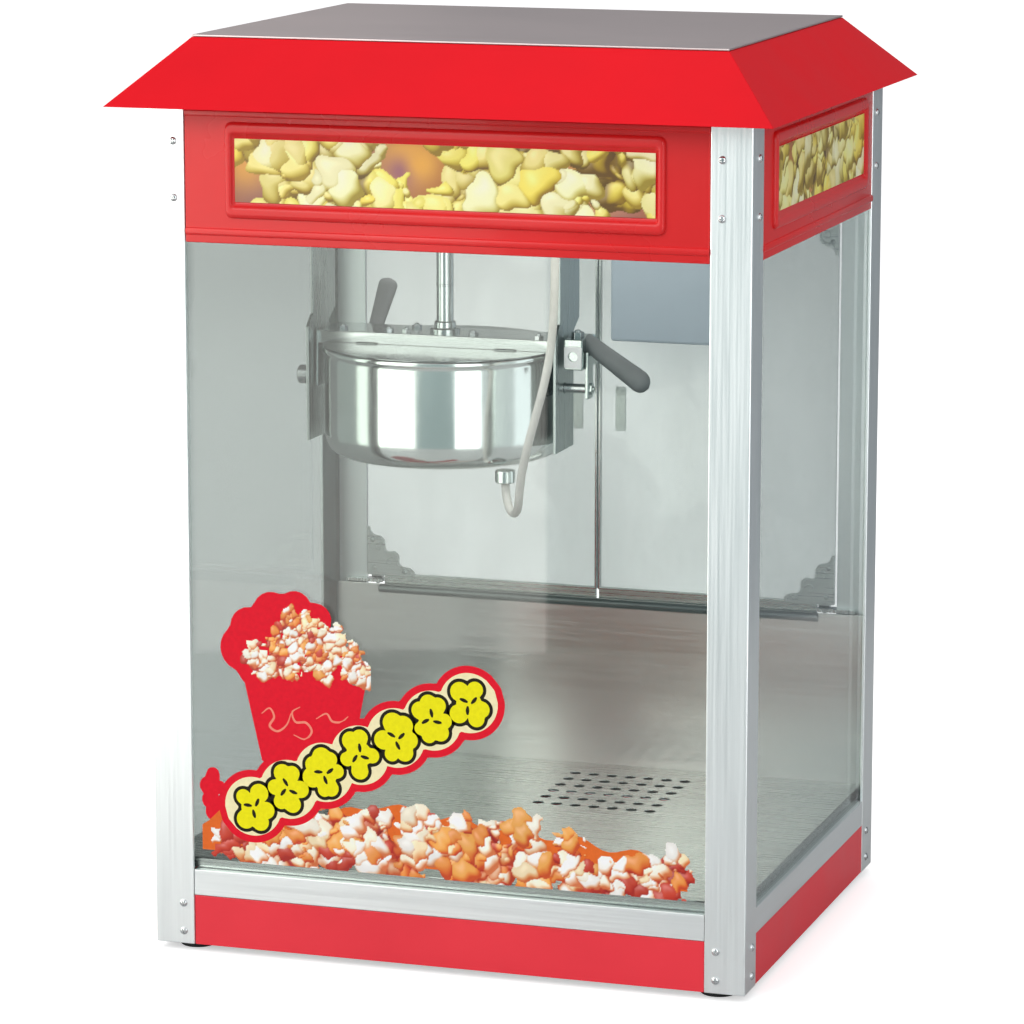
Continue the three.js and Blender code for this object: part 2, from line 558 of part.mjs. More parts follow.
const ARM_X = 131.4;
add('tilt_handle', BLACK, join(
  box([ARM_X - 17, ARM_X - 0.4], [-28, 10], [477, 503]),
  grip([ARM_X - 3, -12, 502], [ARM_X + 62, -36, 461], 5, 8.5),
  box([ARM_X + 0.1, ARM_X + 3], [TILT_Y - 7, TILT_Y + 7], [452, 492]),
  box([ARM_X - 3, ARM_X + 3], [TILT_Y - 7, TILT_Y + 7], [480, 492])), kettle);

// ---- stirrer and its drive ------------------------------------------------------------
const TONGUE_TOP = 596;
add('stirrer', STEEL, join(
  cylinderZ(4, 0, 0, [KETTLE_BOTTOM + 12, TUBE_TOP + 1]),
  box([-1.6, 1.6], [-3.8, 3.8], [TUBE_TOP, TONGUE_TOP]),
  box([-84, 84], [-1.5, 1.5], [KETTLE_BOTTOM + 13.5, KETTLE_BOTTOM + 23]),
  box([-2, 2], [-60, 60], [KETTLE_BOTTOM + 13.5, KETTLE_BOTTOM + 20])), kettle);

const FORK_Z = [590.5, CEILING_Z + 2.6];
add('drive_shaft', STEEL, cut(
  cylinderZ(8, 0, 0, FORK_Z),
  box([-2.2, 2.2], [-19, 19], [FORK_Z[0] - 9, TONGUE_TOP + 2])), kettle);

// ---- crumb drawer under the perforated part of the deck -----------------------------------
const drawerX = [DRAWER_X - DRAWER_HALF, DRAWER_X + DRAWER_HALF];
const trayY = [DRAWER_FRONT_Y, HALF_D - 2.8];
const drawerZ = [DRAWER_BOTTOM, DRAWER_TOP];
add('crumb_drawer', STEEL, join(
  cut(
    box(drawerX, trayY, drawerZ),
    box([drawerX[0] + SHEET, drawerX[1] - SHEET], [trayY[0] + SHEET, trayY[1] - SHEET],
      [DRAWER_BOTTOM + SHEET, DRAWER_TOP + 9])),
  box([drawerX[0] - 8, drawerX[1] + 8], [HALF_D - GAP, HALF_D + 1.4], [DRAWER_BOTTOM - 1.5, DRAWER_TOP + 3]),
  box([DRAWER_X - 24, DRAWER_X + 24], [HALF_D - 3.5, HALF_D + 14], [DRAWER_TOP - 18, DRAWER_TOP - 15])));

export default machine;
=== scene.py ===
"""Looks of a countertop popcorn machine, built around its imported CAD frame. Metres, +Z up."""
import math
import random

import bmesh
import bpy
import numpy as np
from mathutils import Matrix, Vector


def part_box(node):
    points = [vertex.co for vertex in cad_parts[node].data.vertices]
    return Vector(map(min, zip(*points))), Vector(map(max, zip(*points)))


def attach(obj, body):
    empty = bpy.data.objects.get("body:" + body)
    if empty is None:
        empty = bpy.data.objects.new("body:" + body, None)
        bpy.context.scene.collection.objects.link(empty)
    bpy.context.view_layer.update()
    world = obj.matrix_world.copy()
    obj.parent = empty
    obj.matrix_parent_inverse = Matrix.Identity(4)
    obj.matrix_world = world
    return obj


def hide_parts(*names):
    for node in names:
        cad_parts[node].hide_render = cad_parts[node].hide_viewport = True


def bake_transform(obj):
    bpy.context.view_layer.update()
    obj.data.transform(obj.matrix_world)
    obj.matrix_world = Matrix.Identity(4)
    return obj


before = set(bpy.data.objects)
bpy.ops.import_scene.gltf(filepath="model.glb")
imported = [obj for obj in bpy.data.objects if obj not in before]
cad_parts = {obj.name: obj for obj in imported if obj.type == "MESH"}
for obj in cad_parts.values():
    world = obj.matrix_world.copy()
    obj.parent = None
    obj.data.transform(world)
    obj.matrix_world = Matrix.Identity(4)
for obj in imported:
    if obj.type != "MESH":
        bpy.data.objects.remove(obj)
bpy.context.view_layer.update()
MM = 0.001

# ---- driving sizes, in millimetres, taken from the frame ----------------------------------------------


def box_mm(*nodes):
    """Lowest and highest corner of some CAD nodes, in millimetres."""
    corners = np.array([[list(c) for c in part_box(n)] for n in nodes]) / MM
    return corners[:, 0].min(0), corners[:, 1].max(0)


_, post_high = box_mm("post_front_left", "post_rear_right")
HALF_W, HALF_D = float(post_high[0]), float(post_high[1])
POST_LEG = 34.0
POST_GAP = 0.4
GLASS_FACE = float(box_mm("glass_front")[0][1])
pan_low, pan_high = box_mm("kettle_pan")
KETTLE_X = float(pan_low[0] + pan_high[0]) / 2
PAN_LIP = 2
R = float(pan_high[0] - pan_low[0]) / 2 - PAN_LIP
TILT_Y, TILT_Z = -15.0, 460.0

# ---- camera, lights, floor ----------------------------------------------------------------------------

AZIMUTH, ELEVATION = math.radians(18.24), math.radians(10.78)
CAMERA_AWAY, LENS, SENSOR = 3.764, 155.2, 36.0
TARGET = Vector((-0.0122, 0.0, 0.3477))


def make_camera():
    back = Vector((math.sin(AZIMUTH) * math.cos(ELEVATION),
                   -math.cos(AZIMUTH) * math.cos(ELEVATION), math.sin(ELEVATION)))
    data = bpy.data.cameras.new("camera")
    data.sensor_width = SENSOR
    data.lens = LENS
    camera = bpy.data.objects.new("camera", data)
    bpy.context.collection.objects.link(camera)
    camera.location = TARGET + back * CAMERA_AWAY
    camera.rotation_euler = (-back).to_track_quat("-Z", "Y").to_euler()
    bpy.context.scene.camera = camera


make_camera()

# ---- mesh helpers, all in millimetres -----------------------------------------------------------------


def new_object(name, verts, faces, smooth=False):
    mesh = bpy.data.meshes.new(name)
    mesh.from_pydata([[c * MM for c in v] for v in verts], [], faces)
    mesh.validate()
    if smooth:
        mesh.shade_smooth()
    piece = bpy.data.objects.new(name, mesh)
    bpy.context.collection.objects.link(piece)
    return piece


def tidy_normals(piece):
    work = bmesh.new()
    work.from_mesh(piece.data)
    bmesh.ops.remove_doubles(work, verts=work.verts, dist=1e-6)
    bmesh.ops.recalc_face_normals(work, faces=work.faces)
    work.to_mesh(piece.data)
    work.free()
    return piece


def place(piece, matrix):
    """Moves a finished mesh by a matrix given in millimetres."""
    shift = matrix.copy()
    shift.translation = matrix.translation * MM
    piece.data.transform(shift)
    return piece


def bevelled(piece, width=0.6, segments=2, angle=32):
    bevel = piece.modifiers.new("bevel", "BEVEL")
    bevel.width = width * MM
    bevel.segments = segments
    bevel.limit_method = "ANGLE"
    bevel.angle_limit = math.radians(angle)
    bevel.harden_normals = False
    return piece


def soften(node, width=0.5, segments=2):
    """Breaks the sharp edges of a CAD node, whose mesh stays as it is."""
    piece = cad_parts[node]
    weld = piece.modifiers.new("weld", "WELD")
    weld.merge_threshold = 1e-5
    return bevelled(piece, width, segments)


def block(name, low, high, width=0.6, segments=2):
    """A box between two corners, with softened edges."""
    (x0, y0, z0), (x1, y1, z1) = low, high
    verts = [(x, y, z) for z in (z0, z1) for y in (y0, y1) for x in (x0, x1)]
    faces = [(0, 2, 3, 1), (4, 5, 7, 6), (0, 1, 5, 4), (2, 6, 7, 3), (0, 4, 6, 2), (1, 3, 7, 5)]
    return bevelled(new_object(name, verts, faces), width, segments)


def lathe(name, profile, centre=(0, 0, 0), axis="Z", sides=48, smooth_angle=35):
    """Turns a closed profile of (radius, height) points about an axis."""
    verts, rings = [], []
    for radius, height in profile:
        if radius < 1e-6:
            rings.append([len(verts)] * sides)
            verts.append((0, 0, height))
            continue
        rings.append(list(range(len(verts), len(verts) + sides)))
        for k in range(sides):
            angle = 2 * math.pi * k / sides
            verts.append((radius * math.cos(angle), radius * math.sin(angle), height))
    faces = []
    closed = profile[0][0] > 1e-6
    pairs = list(zip(rings, rings[1:])) + ([(rings[-1], rings[0])] if closed else [])
    for low, high in pairs:
        for k in range(sides):
            n = (k + 1) % sides
            corners = [low[k], low[n], high[n], high[k]]
            corners = [c for i, c in enumerate(corners) if c not in corners[:i]]
            if len(corners) > 2:
                faces.append(corners)
    piece = tidy_normals(new_object(name, verts, faces))
    turn = {"Z": Matrix.Identity(4), "X": Matrix.Rotation(math.pi / 2, 4, "Y"),
            "Y": Matrix.Rotation(-math.pi / 2, 4, "X")}[axis]
    piece.data.shade_smooth()
    piece.data.set_sharp_from_angle(angle=math.radians(smooth_angle))
    return place(piece, Matrix.Translation(Vector(centre)) @ turn)


def prism(name, outline, low, high, plane="XY", width=0.4):
    """Pushes a simple outline from low to high, across the plane that it lies in."""
    count = len(outline)

    def at(a, b, c):
        return {"XY": (a, b, c), "XZ": (a, c, b), "YZ": (c, a, b)}[plane]

    verts = [at(a, b, low) for a, b in outline] + [at(a, b, high) for a, b in outline]
    faces = [tuple(range(count)), tuple(range(2 * count - 1, count - 1, -1))]
    faces += [(i, (i + 1) % count, count + (i + 1) % count, count + i) for i in range(count)]
    piece = tidy_normals(new_object(name, verts, faces))
    return bevelled(piece, width) if width else piece


def rounded_outline(low, high, radius, steps=6):
    """A rectangle with round corners, as a list of points."""
    (x0, y0), (x1, y1) = low, high
    points = []
    for cx, cy, start in ((x1 - radius, y0 + radius, -90), (x1 - radius, y1 - radius, 0),
                          (x0 + radius, y1 - radius, 90), (x0 + radius, y0 + radius, 180)):
        for k in range(steps + 1):
            angle = math.radians(start + 90 * k / steps)
            points.append((cx + radius * math.cos(angle), cy + radius * math.sin(angle)))
    return points


def smooth_path(points, steps=6):
    """A Catmull-Rom line through the points."""
    points = [Vector(p) for p in points]
    ends = [2 * points[0] - points[1]] + points + [2 * points[-1] - points[-2]]
    line = []
    for a, b, c, d in zip(ends, ends[1:], ends[2:], ends[3:]):
        for k in range(steps):
            t = k / steps
            line.append(0.5 * (2 * b + (c - a) * t + (2 * a - 5 * b + 4 * c - d) * t * t
                               + (3 * b - a - 3 * c + d) * t ** 3))
    return line + [points[-1]]


def sweep(name, line, radius, sides=12, flatten=1.0, side=None):
    """A round or flattened rod along a line. radius is a number or a function of 0 to 1."""
    line = [Vector(p) for p in line]
    size = radius if callable(radius) else (lambda t: radius)
    verts, faces = [], []
    for i, point in enumerate(line):
        ahead = (line[min(i + 1, len(line) - 1)] - line[max(i - 1, 0)]).normalized()
        if side is None:
            side = ahead.orthogonal().normalized()
        side = (side - ahead * side.dot(ahead)).normalized()
        other = ahead.cross(side)
        r = size(i / (len(line) - 1))
        for k in range(sides):
            angle = 2 * math.pi * k / sides
            verts.append(point + side * (r * math.cos(angle)) + other * (r * flatten * math.sin(angle)))
    for i in range(len(line) - 1):
        for k in range(sides):
            n = (k + 1) % sides
            faces.append((i * sides + k, i * sides + n, (i + 1) * sides + n, (i + 1) * sides + k))
    last = (len(line) - 1) * sides
    faces.append(tuple(range(sides - 1, -1, -1)))
    faces.append(tuple(range(last, last + sides)))
    piece = tidy_normals(new_object(name, verts, faces))
    piece.data.shade_smooth()
    piece.data.set_sharp_from_angle(angle=math.radians(50))
    return piece


def joined(name, pieces):
    """Several pieces as one object, with their modifiers applied."""
    work = bmesh.new()
    graph = bpy.context.evaluated_depsgraph_get()
    for piece in pieces:
        mesh = bpy.data.meshes.new_from_object(piece.evaluated_get(graph))
        work.from_mesh(mesh)
        bpy.data.meshes.remove(mesh)
    mesh = bpy.data.meshes.new(name)
    work.to_mesh(mesh)
    work.free()
    for piece in pieces:
        bpy.data.objects.remove(piece)
    whole = bpy.data.objects.new(name, mesh)
    bpy.context.collection.objects.link(whole)
    return whole


# ---- material helpers ---------------------------------------------------------------------------------


class Paint:
    """A Principled material with a few procedural helpers."""

    def __init__(self, name, color=(0.8, 0.8, 0.8), roughness=0.5, metallic=0.0, **sockets):
        self.material = bpy.data.materials.new(name)
        self.material.use_nodes = True
        self.tree = self.material.node_tree
        self.shader = self.tree.nodes["Principled BSDF"]
        self.shader.inputs["Base Color"].default_value = (*color, 1)
        self.shader.inputs["Roughness"].default_value = roughness
        self.shader.inputs["Metallic"].default_value = metallic
        for socket, value in sockets.items():
            self.shader.inputs[socket.replace("_", " ")].default_value = value

    def add(self, kind, **settings):
        node = self.tree.nodes.new(kind)
        for key, value in settings.items():
            setattr(node, key, value)
        return node

    def link(self, a, b):
        self.tree.links.new(a, b)

    def coords(self, stretch=(1, 1, 1)):
        space = self.add("ShaderNodeTexCoord")
        scale = self.add("ShaderNodeMapping")
        scale.inputs["Scale"].default_value = stretch
        self.link(space.outputs["Object"], scale.inputs["Vector"])
        return scale.outputs["Vector"]

    def noise(self, scale, stretch=(1, 1, 1), detail=3.0, rough=0.55):
        node = self.add("ShaderNodeTexNoise")
        node.inputs["Scale"].default_value = scale
        node.inputs["Detail"].default_value = detail
        node.inputs["Roughness"].default_value = rough
        self.link(self.coords(stretch), node.inputs["Vector"])
        return node.outputs["Fac"]

    def spread(self, value, low, high, start=0.3, stop=0.7):
        node = self.add("ShaderNodeMapRange")
        for socket, number in zip(("From Min", "From Max", "To Min", "To Max"), (start, stop, low, high)):
            node.inputs[socket].default_value = number
        self.link(value, node.inputs["Value"])
        return node.outputs["Result"]

    def ramp(self, value, stops):
        node = self.add("ShaderNodeValToRGB")
        ends = node.color_ramp.elements
        while len(ends) < len(stops):
            ends.new(0.5)
        for end, (at, color) in zip(ends, stops):
            end.position = at
            end.color = (*color, 1)
        self.link(value, node.inputs["Fac"])
        return node.outputs["Color"]

    def color(self, source):
        self.link(source, self.shader.inputs["Base Color"])
        return self

    def roughness(self, value, low, high):
        self.link(self.spread(value, low, high), self.shader.inputs["Roughness"])
        return self

    def bump(self, value, strength=0.2, depth=0.1):
        node = self.add("ShaderNodeBump")
        node.inputs["Strength"].default_value = strength
        node.inputs["Distance"].default_value = depth * MM
        previous = self.shader.inputs["Normal"]
        if previous.is_linked:
            self.link(previous.links[0].from_socket, node.inputs["Normal"])
        self.link(value, node.inputs["Height"])
        self.link(node.outputs["Normal"], previous)
        return self


def shades(color, amount):
    """A darker and a lighter version of a colour."""
    return tuple(c * (1 - amount) for c in color), tuple(min(c * (1 + amount), 1) for c in color)


def brushed(name, color, along, roughness, metallic=1.0, grain=0.06):
    """Metal with its grain along one axis: 0 is X, 1 is Y and 2 is Z."""
    paint = Paint(name, color, roughness, metallic)
    stretch = [700, 700, 700]
    stretch[along] = 7
    fine = paint.noise(1.0, tuple(stretch), 4)
    broad = paint.noise(9.0, (1, 1, 1), 3)
    dark, light = shades(color, grain)
    paint.color(paint.ramp(fine, [(0.3, dark), (0.7, light)]))
    paint.roughness(fine, roughness - 0.07, roughness + 0.08)
    return paint.bump(fine, 0.12, 0.02).bump(broad, 0.06, 0.4).material


def polished(name, color, roughness=0.1, wave=0.25):
    """Polished metal, with a faint wave that bends what it mirrors."""
    paint = Paint(name, color, roughness, 1.0)
    smear = paint.noise(22.0, (1, 1, 0.35), 4)
    fine = paint.noise(900.0, (1, 1, 0.05), 2)
    dark, light = shades(color, 0.05)
    paint.color(paint.ramp(smear, [(0.3, dark), (0.7, light)]))
    paint.roughness(smear, roughness * 0.8, roughness * 1.5)
    return paint.bump(smear, 0.1, wave).bump(fine, 0.05, 0.01).material


def enamel(name, color, roughness, coat=0.4, peel=0.05, specular=0.5):
    """Smooth paint or glossy plastic. peel is the depth of its orange peel."""
    paint = Paint(name, color, roughness, 0.0, Coat_Weight=coat, Coat_Roughness=0.08,
                  Specular_IOR_Level=specular)
    cloud = paint.noise(7.0, (1, 1, 1), 4)
    dark, light = shades(color, 0.05)
    paint.color(paint.ramp(cloud, [(0.3, dark), (0.7, light)]))
    paint.roughness(cloud, roughness - 0.05, roughness + 0.06)
    return paint.bump(paint.noise(420.0, (1, 1, 1), 2), 0.1, peel).material


def moulded(name, color, roughness, grain=0.1, scale=1400.0):
    """Dull plastic, rubber or braid, with a fine grain."""
    paint = Paint(name, color, roughness)
    cloud = paint.noise(30.0, (1, 1, 1), 3)
    dark, light = shades(color, 0.12)
    paint.color(paint.ramp(cloud, [(0.3, dark), (0.7, light)]))
    paint.roughness(cloud, roughness - 0.06, roughness + 0.08)
    return paint.bump(paint.noise(scale, (1, 1, 1), 2), 0.25, grain).material


def clear_glass(name, tint, mirror=1.0, haze=0.0, haze_color=(0.9, 0.93, 0.92)):
    """Flat glass that light passes straight through, with a mirror that grows at grazing angles."""
    paint = Paint(name)
    nodes = paint.tree.nodes
    nodes.remove(paint.shader)
    out = nodes["Material Output"]
    through = paint.add("ShaderNodeBsdfTransparent")
    through.inputs["Color"].default_value = (*tint, 1)
    shine = paint.add("ShaderNodeBsdfGlossy")
    shine.inputs["Roughness"].default_value = 0.02
    smear = paint.noise(14.0, (1, 1, 0.4), 4)
    paint.link(paint.spread(smear, 0.01, 0.06), shine.inputs["Roughness"])
    # Schlick's rule, which is the same from both sides of a thin pane
    facing = paint.add("ShaderNodeLayerWeight")
    facing.inputs["Blend"].default_value = 0.5
    steep = paint.add("ShaderNodeMath", operation="POWER")
    steep.inputs[1].default_value = 5.0
    paint.link(facing.outputs["Facing"], steep.inputs[0])
    share = paint.add("ShaderNodeMath", operation="MULTIPLY_ADD")
    share.inputs[1].default_value = 0.96 * mirror
    share.inputs[2].default_value = 0.035 * mirror
    paint.link(steep.outputs[0], share.inputs[0])
    body = through.outputs[0]
    if haze:
        fog = paint.add("ShaderNodeBsdfDiffuse")
        fog.inputs["Color"].default_value = (*haze_color, 1)
        veil = paint.add("ShaderNodeMixShader")
        paint.link(paint.spread(smear, haze * 0.85, haze * 1.15), veil.inputs["Fac"])
        paint.link(body, veil.inputs[1])
        paint.link(fog.outputs[0], veil.inputs[2])
        body = veil.outputs[0]
    mix = paint.add("ShaderNodeMixShader")
    paint.link(share.outputs[0], mix.inputs["Fac"])
    paint.link(body, mix.inputs[1])
    paint.link(shine.outputs[0], mix.inputs[2])
    paint.link(mix.outputs[0], out.inputs["Surface"])
    return paint.material


def printed(name, roughness=0.35):
    """Ink whose colours lie on the mesh, in its tint attribute."""
    paint = Paint(name, (0.8, 0.8, 0.8), roughness)
    ink = paint.add("ShaderNodeAttribute", attribute_name="tint")
    dots = paint.noise(900.0, (1, 1, 1), 2)
    mix = paint.add("ShaderNodeMix", data_type="RGBA", blend_type="MULTIPLY")
    mix.inputs["Factor"].default_value = 0.12
    paint.link(ink.outputs["Color"], mix.inputs["A"])
    paint.link(paint.ramp(dots, [(0.3, (0.8, 0.8, 0.8)), (0.7, (1, 1, 1))]), mix.inputs["B"])
    paint.color(mix.outputs["Result"])
    return paint.roughness(dots, roughness - 0.05, roughness + 0.05).material


def vinyl(name, color, roughness=0.45):
    """Flat printed film of one colour."""
    paint = Paint(name, color, roughness, Specular_IOR_Level=0.06)
    fine = paint.noise(260.0, (1, 1, 1), 3)
    dark, light = shades(color, 0.05)
    paint.color(paint.ramp(fine, [(0.3, dark), (0.7, light)]))
    return paint.roughness(fine, roughness - 0.05, roughness + 0.05).bump(fine, 0.08, 0.03).material


ALUMINIUM_UP, ALUMINIUM_ACROSS, ALUMINIUM_DEEP = (
    brushed(f"aluminium_{way}", (0.84, 0.87, 0.88), along, 0.36, 0.88, 0.02)
    for way, along in (("up", 2), ("across", 0), ("deep", 1)))
STEEL_ACROSS = brushed("steel_across", (0.60, 0.63, 0.61), 0, 0.26)
STEEL_UP = brushed("steel_up", (0.66, 0.68, 0.67), 2, 0.24)
ROOF_STEEL = brushed("roof_steel", (0.55, 0.48, 0.48), 0, 0.45)
MIRROR_STEEL = polished("mirror_steel", (0.80, 0.83, 0.81), 0.12, 0.12)
BACK_STEEL = brushed("back_steel", (0.90, 0.89, 0.86), 0, 0.17, 0.72, 0.02)
BRIDGE_STEEL = polished("bridge_steel", (0.60, 0.63, 0.62), 0.14, 0.3)
# the lids are polished steel like the bridge, darkened into a painted shade
SHADED_LID_STEEL = polished("lid_steel_painted_shade", (0.27, 0.30, 0.29), 0.12, 0.2)
# the back panel's rim is bare steel, darkened into a painted shade
SHADED_RIM_STEEL = brushed("rim_steel_painted_shade", (0.17, 0.185, 0.185), 0, 0.36)
HANGER_STEEL = brushed("hanger_steel", (0.50, 0.53, 0.52), 2, 0.3)
PLATE_STEEL = brushed("plate_steel", (0.56, 0.59, 0.58), 0, 0.3, 0.6, 0.03)
SATIN_STEEL = polished("satin_steel", (0.62, 0.66, 0.64), 0.16, 0.5)
SCREW_STEEL = polished("screw_steel", (0.62, 0.63, 0.64), 0.2)
RED_PAINT = enamel("red_paint", (0.72, 0.006, 0.014), 0.38, 0.0, specular=0.06)
BASE_PAINT = enamel("base_paint", (0.84, 0.035, 0.055), 0.36, 0.0, specular=0.3)
RED_PLASTIC = enamel("red_plastic", (0.80, 0.020, 0.022), 0.28, 0.12, 0.03, specular=0.3)
GREY_PAINT = enamel("grey_paint", (0.40, 0.47, 0.54), 0.4, 0.1)
BLACK_PLASTIC = moulded("black_plastic", (0.035, 0.04, 0.045), 0.42)
GRIP_PLASTIC = moulded("grip_plastic", (0.135, 0.147, 0.152), 0.5)
RUBBER = moulded("rubber", (0.015, 0.015, 0.016), 0.75, 0.2)
BRAID = moulded("braid", (0.62, 0.61, 0.57), 0.7, 0.4, 1600.0)
GLASS = clear_glass("window_glass", (0.945, 0.962, 0.955))
# the left pane is the same glass as the others, darkened into a painted shade
SHADED_LEFT_GLASS = clear_glass("left_glass_painted_shade", (0.60, 0.628, 0.617))
RIGHT_GLASS = clear_glass("right_glass", (0.965, 0.985, 0.982))
ACRYLIC = clear_glass("acrylic", (0.93, 0.955, 0.945), 0.8, 0.42)
BULB_GLASS = clear_glass("bulb_glass", (0.98, 0.95, 0.88), 1.0, 0.2)
INK = printed("popcorn_ink")
RED_VINYL = vinyl("red_vinyl", (0.80, 0.012, 0.03))
CREAM_VINYL = vinyl("cream_vinyl", (0.95, 0.86, 0.52))
BLACK_VINYL = vinyl("black_vinyl", (0.02, 0.018, 0.012))
YELLOW_VINYL = vinyl("yellow_vinyl", (0.90, 0.83, 0.01))
PINK_VINYL = vinyl("pink_vinyl", (0.93, 0.28, 0.20))
ORANGE_VINYL = vinyl("orange_vinyl", (0.80, 0.16, 0.03))
WHITE_PLATE = enamel("white_plate", (0.86, 0.87, 0.88), 0.35, 0.3)
BRASS = polished("brass", (0.80, 0.62, 0.30), 0.2)


def finish_piece(piece, material, body, replaces=()):
    """Gives a new piece its material and body, and hides the CAD nodes that it stands for."""
    piece.data.materials.clear()
    piece.data.materials.append(material)
    if body:
        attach(piece, body)
    if replaces:
        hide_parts(*replaces)
    return piece


def paint_node(node, material):
    """A CAD node keeps its shape and gets a better material."""
    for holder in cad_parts[node].material_slots:
        holder.material = material


# ---- heater lead --------------------------------------------------------------------------------------

LEAD_ROUTE = ((47, -66, 606), (47, -66, 590), (47.5, -68, 572), (49, -74, 548), (51, -84, 524),
              (51.5, -94, 500), (49, -102, 476), (44, -107, 452), (38, -109, 428), (32, -107, 404),
              (27.5, -101, 384), (23.5, -93, 370), (17.5, -84, 363.5), (10.5, -76, 366), (6, -70.5, 376),
              (4.2, -68, 388))
LEAD_WIDE = 7.0
lead_line = smooth_path(LEAD_ROUTE, 12)
lead = sweep("heater_lead_braided", lead_line, LEAD_WIDE / 2, 20)
finish_piece(lead, BRAID, None, ["heater_lead"])
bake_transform(lead)

# ---- what stays as CAD --------------------------------------------------------------------------------

STAYS_CAD = (
    (ALUMINIUM_UP, 0.7, [f"post_{end}_{side}" for end in ("front", "rear") for side in ("left", "right")]),
    (ALUMINIUM_ACROSS, 0.5, ["rail_front", "rail_rear"]),
    (ALUMINIUM_DEEP, 0.5, ["rail_left", "rail_right"]),
    (BASE_PAINT, 0.4, [f"base_panel_{side}" for side in ("front", "left", "right", "rear")]),
    (STEEL_ACROSS, 0.3, ["base_pan", "ceiling_deck"]),
    (STEEL_ACROSS, 0.4, ["crumb_drawer"]),
    (STEEL_UP, 0.4, ["lamp_holder", "door_bracket_left", "door_bracket_right", "drive_shaft"]),
    (HANGER_STEEL, 0.5, ["hanger_left", "hanger_right"]),
    (GREY_PAINT, 1.5, ["gear_motor"]),
    (GREY_PAINT, 2.0, ["control_box"]),
    (BLACK_PLASTIC, 0.5, ["power_inlet"]),
    (BLACK_PLASTIC, 0.9, [f"{use}_switch" for use in ("heat", "stir", "light")]),
    (RED_PLASTIC, 0.6, ["header_rear"]),
    (RED_PAINT, 0.9, ["roof_skirt"]),
    (ROOF_STEEL, 0.5, ["roof_top"]),
    (GLASS, 0.5, ["glass_front"]),
    # the left pane takes the darkened glass, a painted shade
    (SHADED_LEFT_GLASS, 0.5, ["glass_left"]),
    (RIGHT_GLASS, 0.5, ["glass_right"]),
    (ACRYLIC, 0.6, ["door_left", "door_right"]))
for material, width, nodes in STAYS_CAD:
    for node in nodes:
        soften(node, width)
        paint_node(node, material)

# ---- flat shapes with holes, cut from a filled outline ------------------------------------------------


def cut_sheet(name, outlines, low, high, plane="XY", edge=0.0):
    """A sheet from low to high whose first outline is its edge and the others are its holes."""
    curve = bpy.data.curves.new(name, "CURVE")
    curve.dimensions = "2D"
    curve.fill_mode = "BOTH"
    curve.extrude = (high - low) / 2 - edge
    curve.bevel_depth = edge
    curve.bevel_resolution = 1
    curve.offset = -edge
    for outline in outlines:
        line = curve.splines.new("POLY")
        line.points.add(len(outline) - 1)
        line.use_cyclic_u = True
        for point, (a, b) in zip(line.points, outline):
            point.co = (a, b, 0, 1)
    holder = bpy.data.objects.new(name, curve)
    bpy.context.collection.objects.link(holder)
    mesh = bpy.data.meshes.new_from_object(holder.evaluated_get(bpy.context.evaluated_depsgraph_get()))
    bpy.data.objects.remove(holder)
    bpy.data.curves.remove(curve)
    piece = bpy.data.objects.new(name, mesh)
    bpy.context.collection.objects.link(piece)
    middle = (low + high) / 2
    turn = {"XY": Matrix(((1, 0, 0, 0), (0, 1, 0, 0), (0, 0, 1, middle), (0, 0, 0, 1))),
            "XZ": Matrix(((1, 0, 0, 0), (0, 0, 1, middle), (0, 1, 0, 0), (0, 0, 0, 1))),
            "YZ": Matrix(((0, 0, 1, middle), (1, 0, 0, 0), (0, 1, 0, 0), (0, 0, 0, 1)))}[plane]
    mesh.transform(Matrix.Scale(MM, 4) @ turn)
    return tidy_normals(piece)


def circle(x, y, radius, sides=24):
    turns = [2 * math.pi * k / sides for k in range(sides)]
    return [(x + radius * math.cos(turn), y + radius * math.sin(turn)) for turn in turns]


# ---- screws and bolts ---------------------------------------------------------------------------------

FACES = {"-Y": Matrix.Identity(4), "+Y": Matrix.Rotation(math.pi, 4, "Z"),
         "+X": Matrix.Rotation(math.pi / 2, 4, "Z"), "-X": Matrix.Rotation(-math.pi / 2, 4, "Z"),
         "+Z": Matrix.Rotation(-math.pi / 2, 4, "X")}


def screw(point, facing, radius=3.4, twist=20.0):
    """A pan head with a cross recess, standing on the surface at the point."""
    dome = [(radius * math.cos(a), 0.62 * radius * math.sin(a)) for a in
            (math.radians(d) for d in (0, 12, 25, 40, 56, 72))]
    head = lathe("screw", [(0, -0.4), (radius, -0.4)] + dome + [(0, 0.63 * radius)], axis="Z", sides=20)
    arm, slot = radius * 0.62, radius * 0.13
    floor, above = arm * 0.45, arm * 2
    cross = joined("cross", [block("bar", (-arm, -slot, floor), (arm, slot, above), 0.05, 1),
                             block("bar", (-slot, -arm, floor), (slot, arm, above), 0.05, 1)])
    carve(head, cross)
    place(head, Matrix.Translation(Vector(point)) @ FACES[facing]
          @ Matrix.Rotation(math.pi / 2, 4, "X") @ Matrix.Rotation(math.radians(twist), 4, "Z"))
    return head


def carve(piece, tool):
    """Takes the tool away from the piece, for good."""
    away = piece.modifiers.new("carve", "BOOLEAN")
    away.operation = "DIFFERENCE"
    away.solver = "EXACT"
    away.use_self = True
    away.object = tool
    graph = bpy.context.evaluated_depsgraph_get()
    mesh = bpy.data.meshes.new_from_object(piece.evaluated_get(graph))
    piece.modifiers.clear()
    piece.data = mesh
    bpy.data.objects.remove(tool)
    return piece


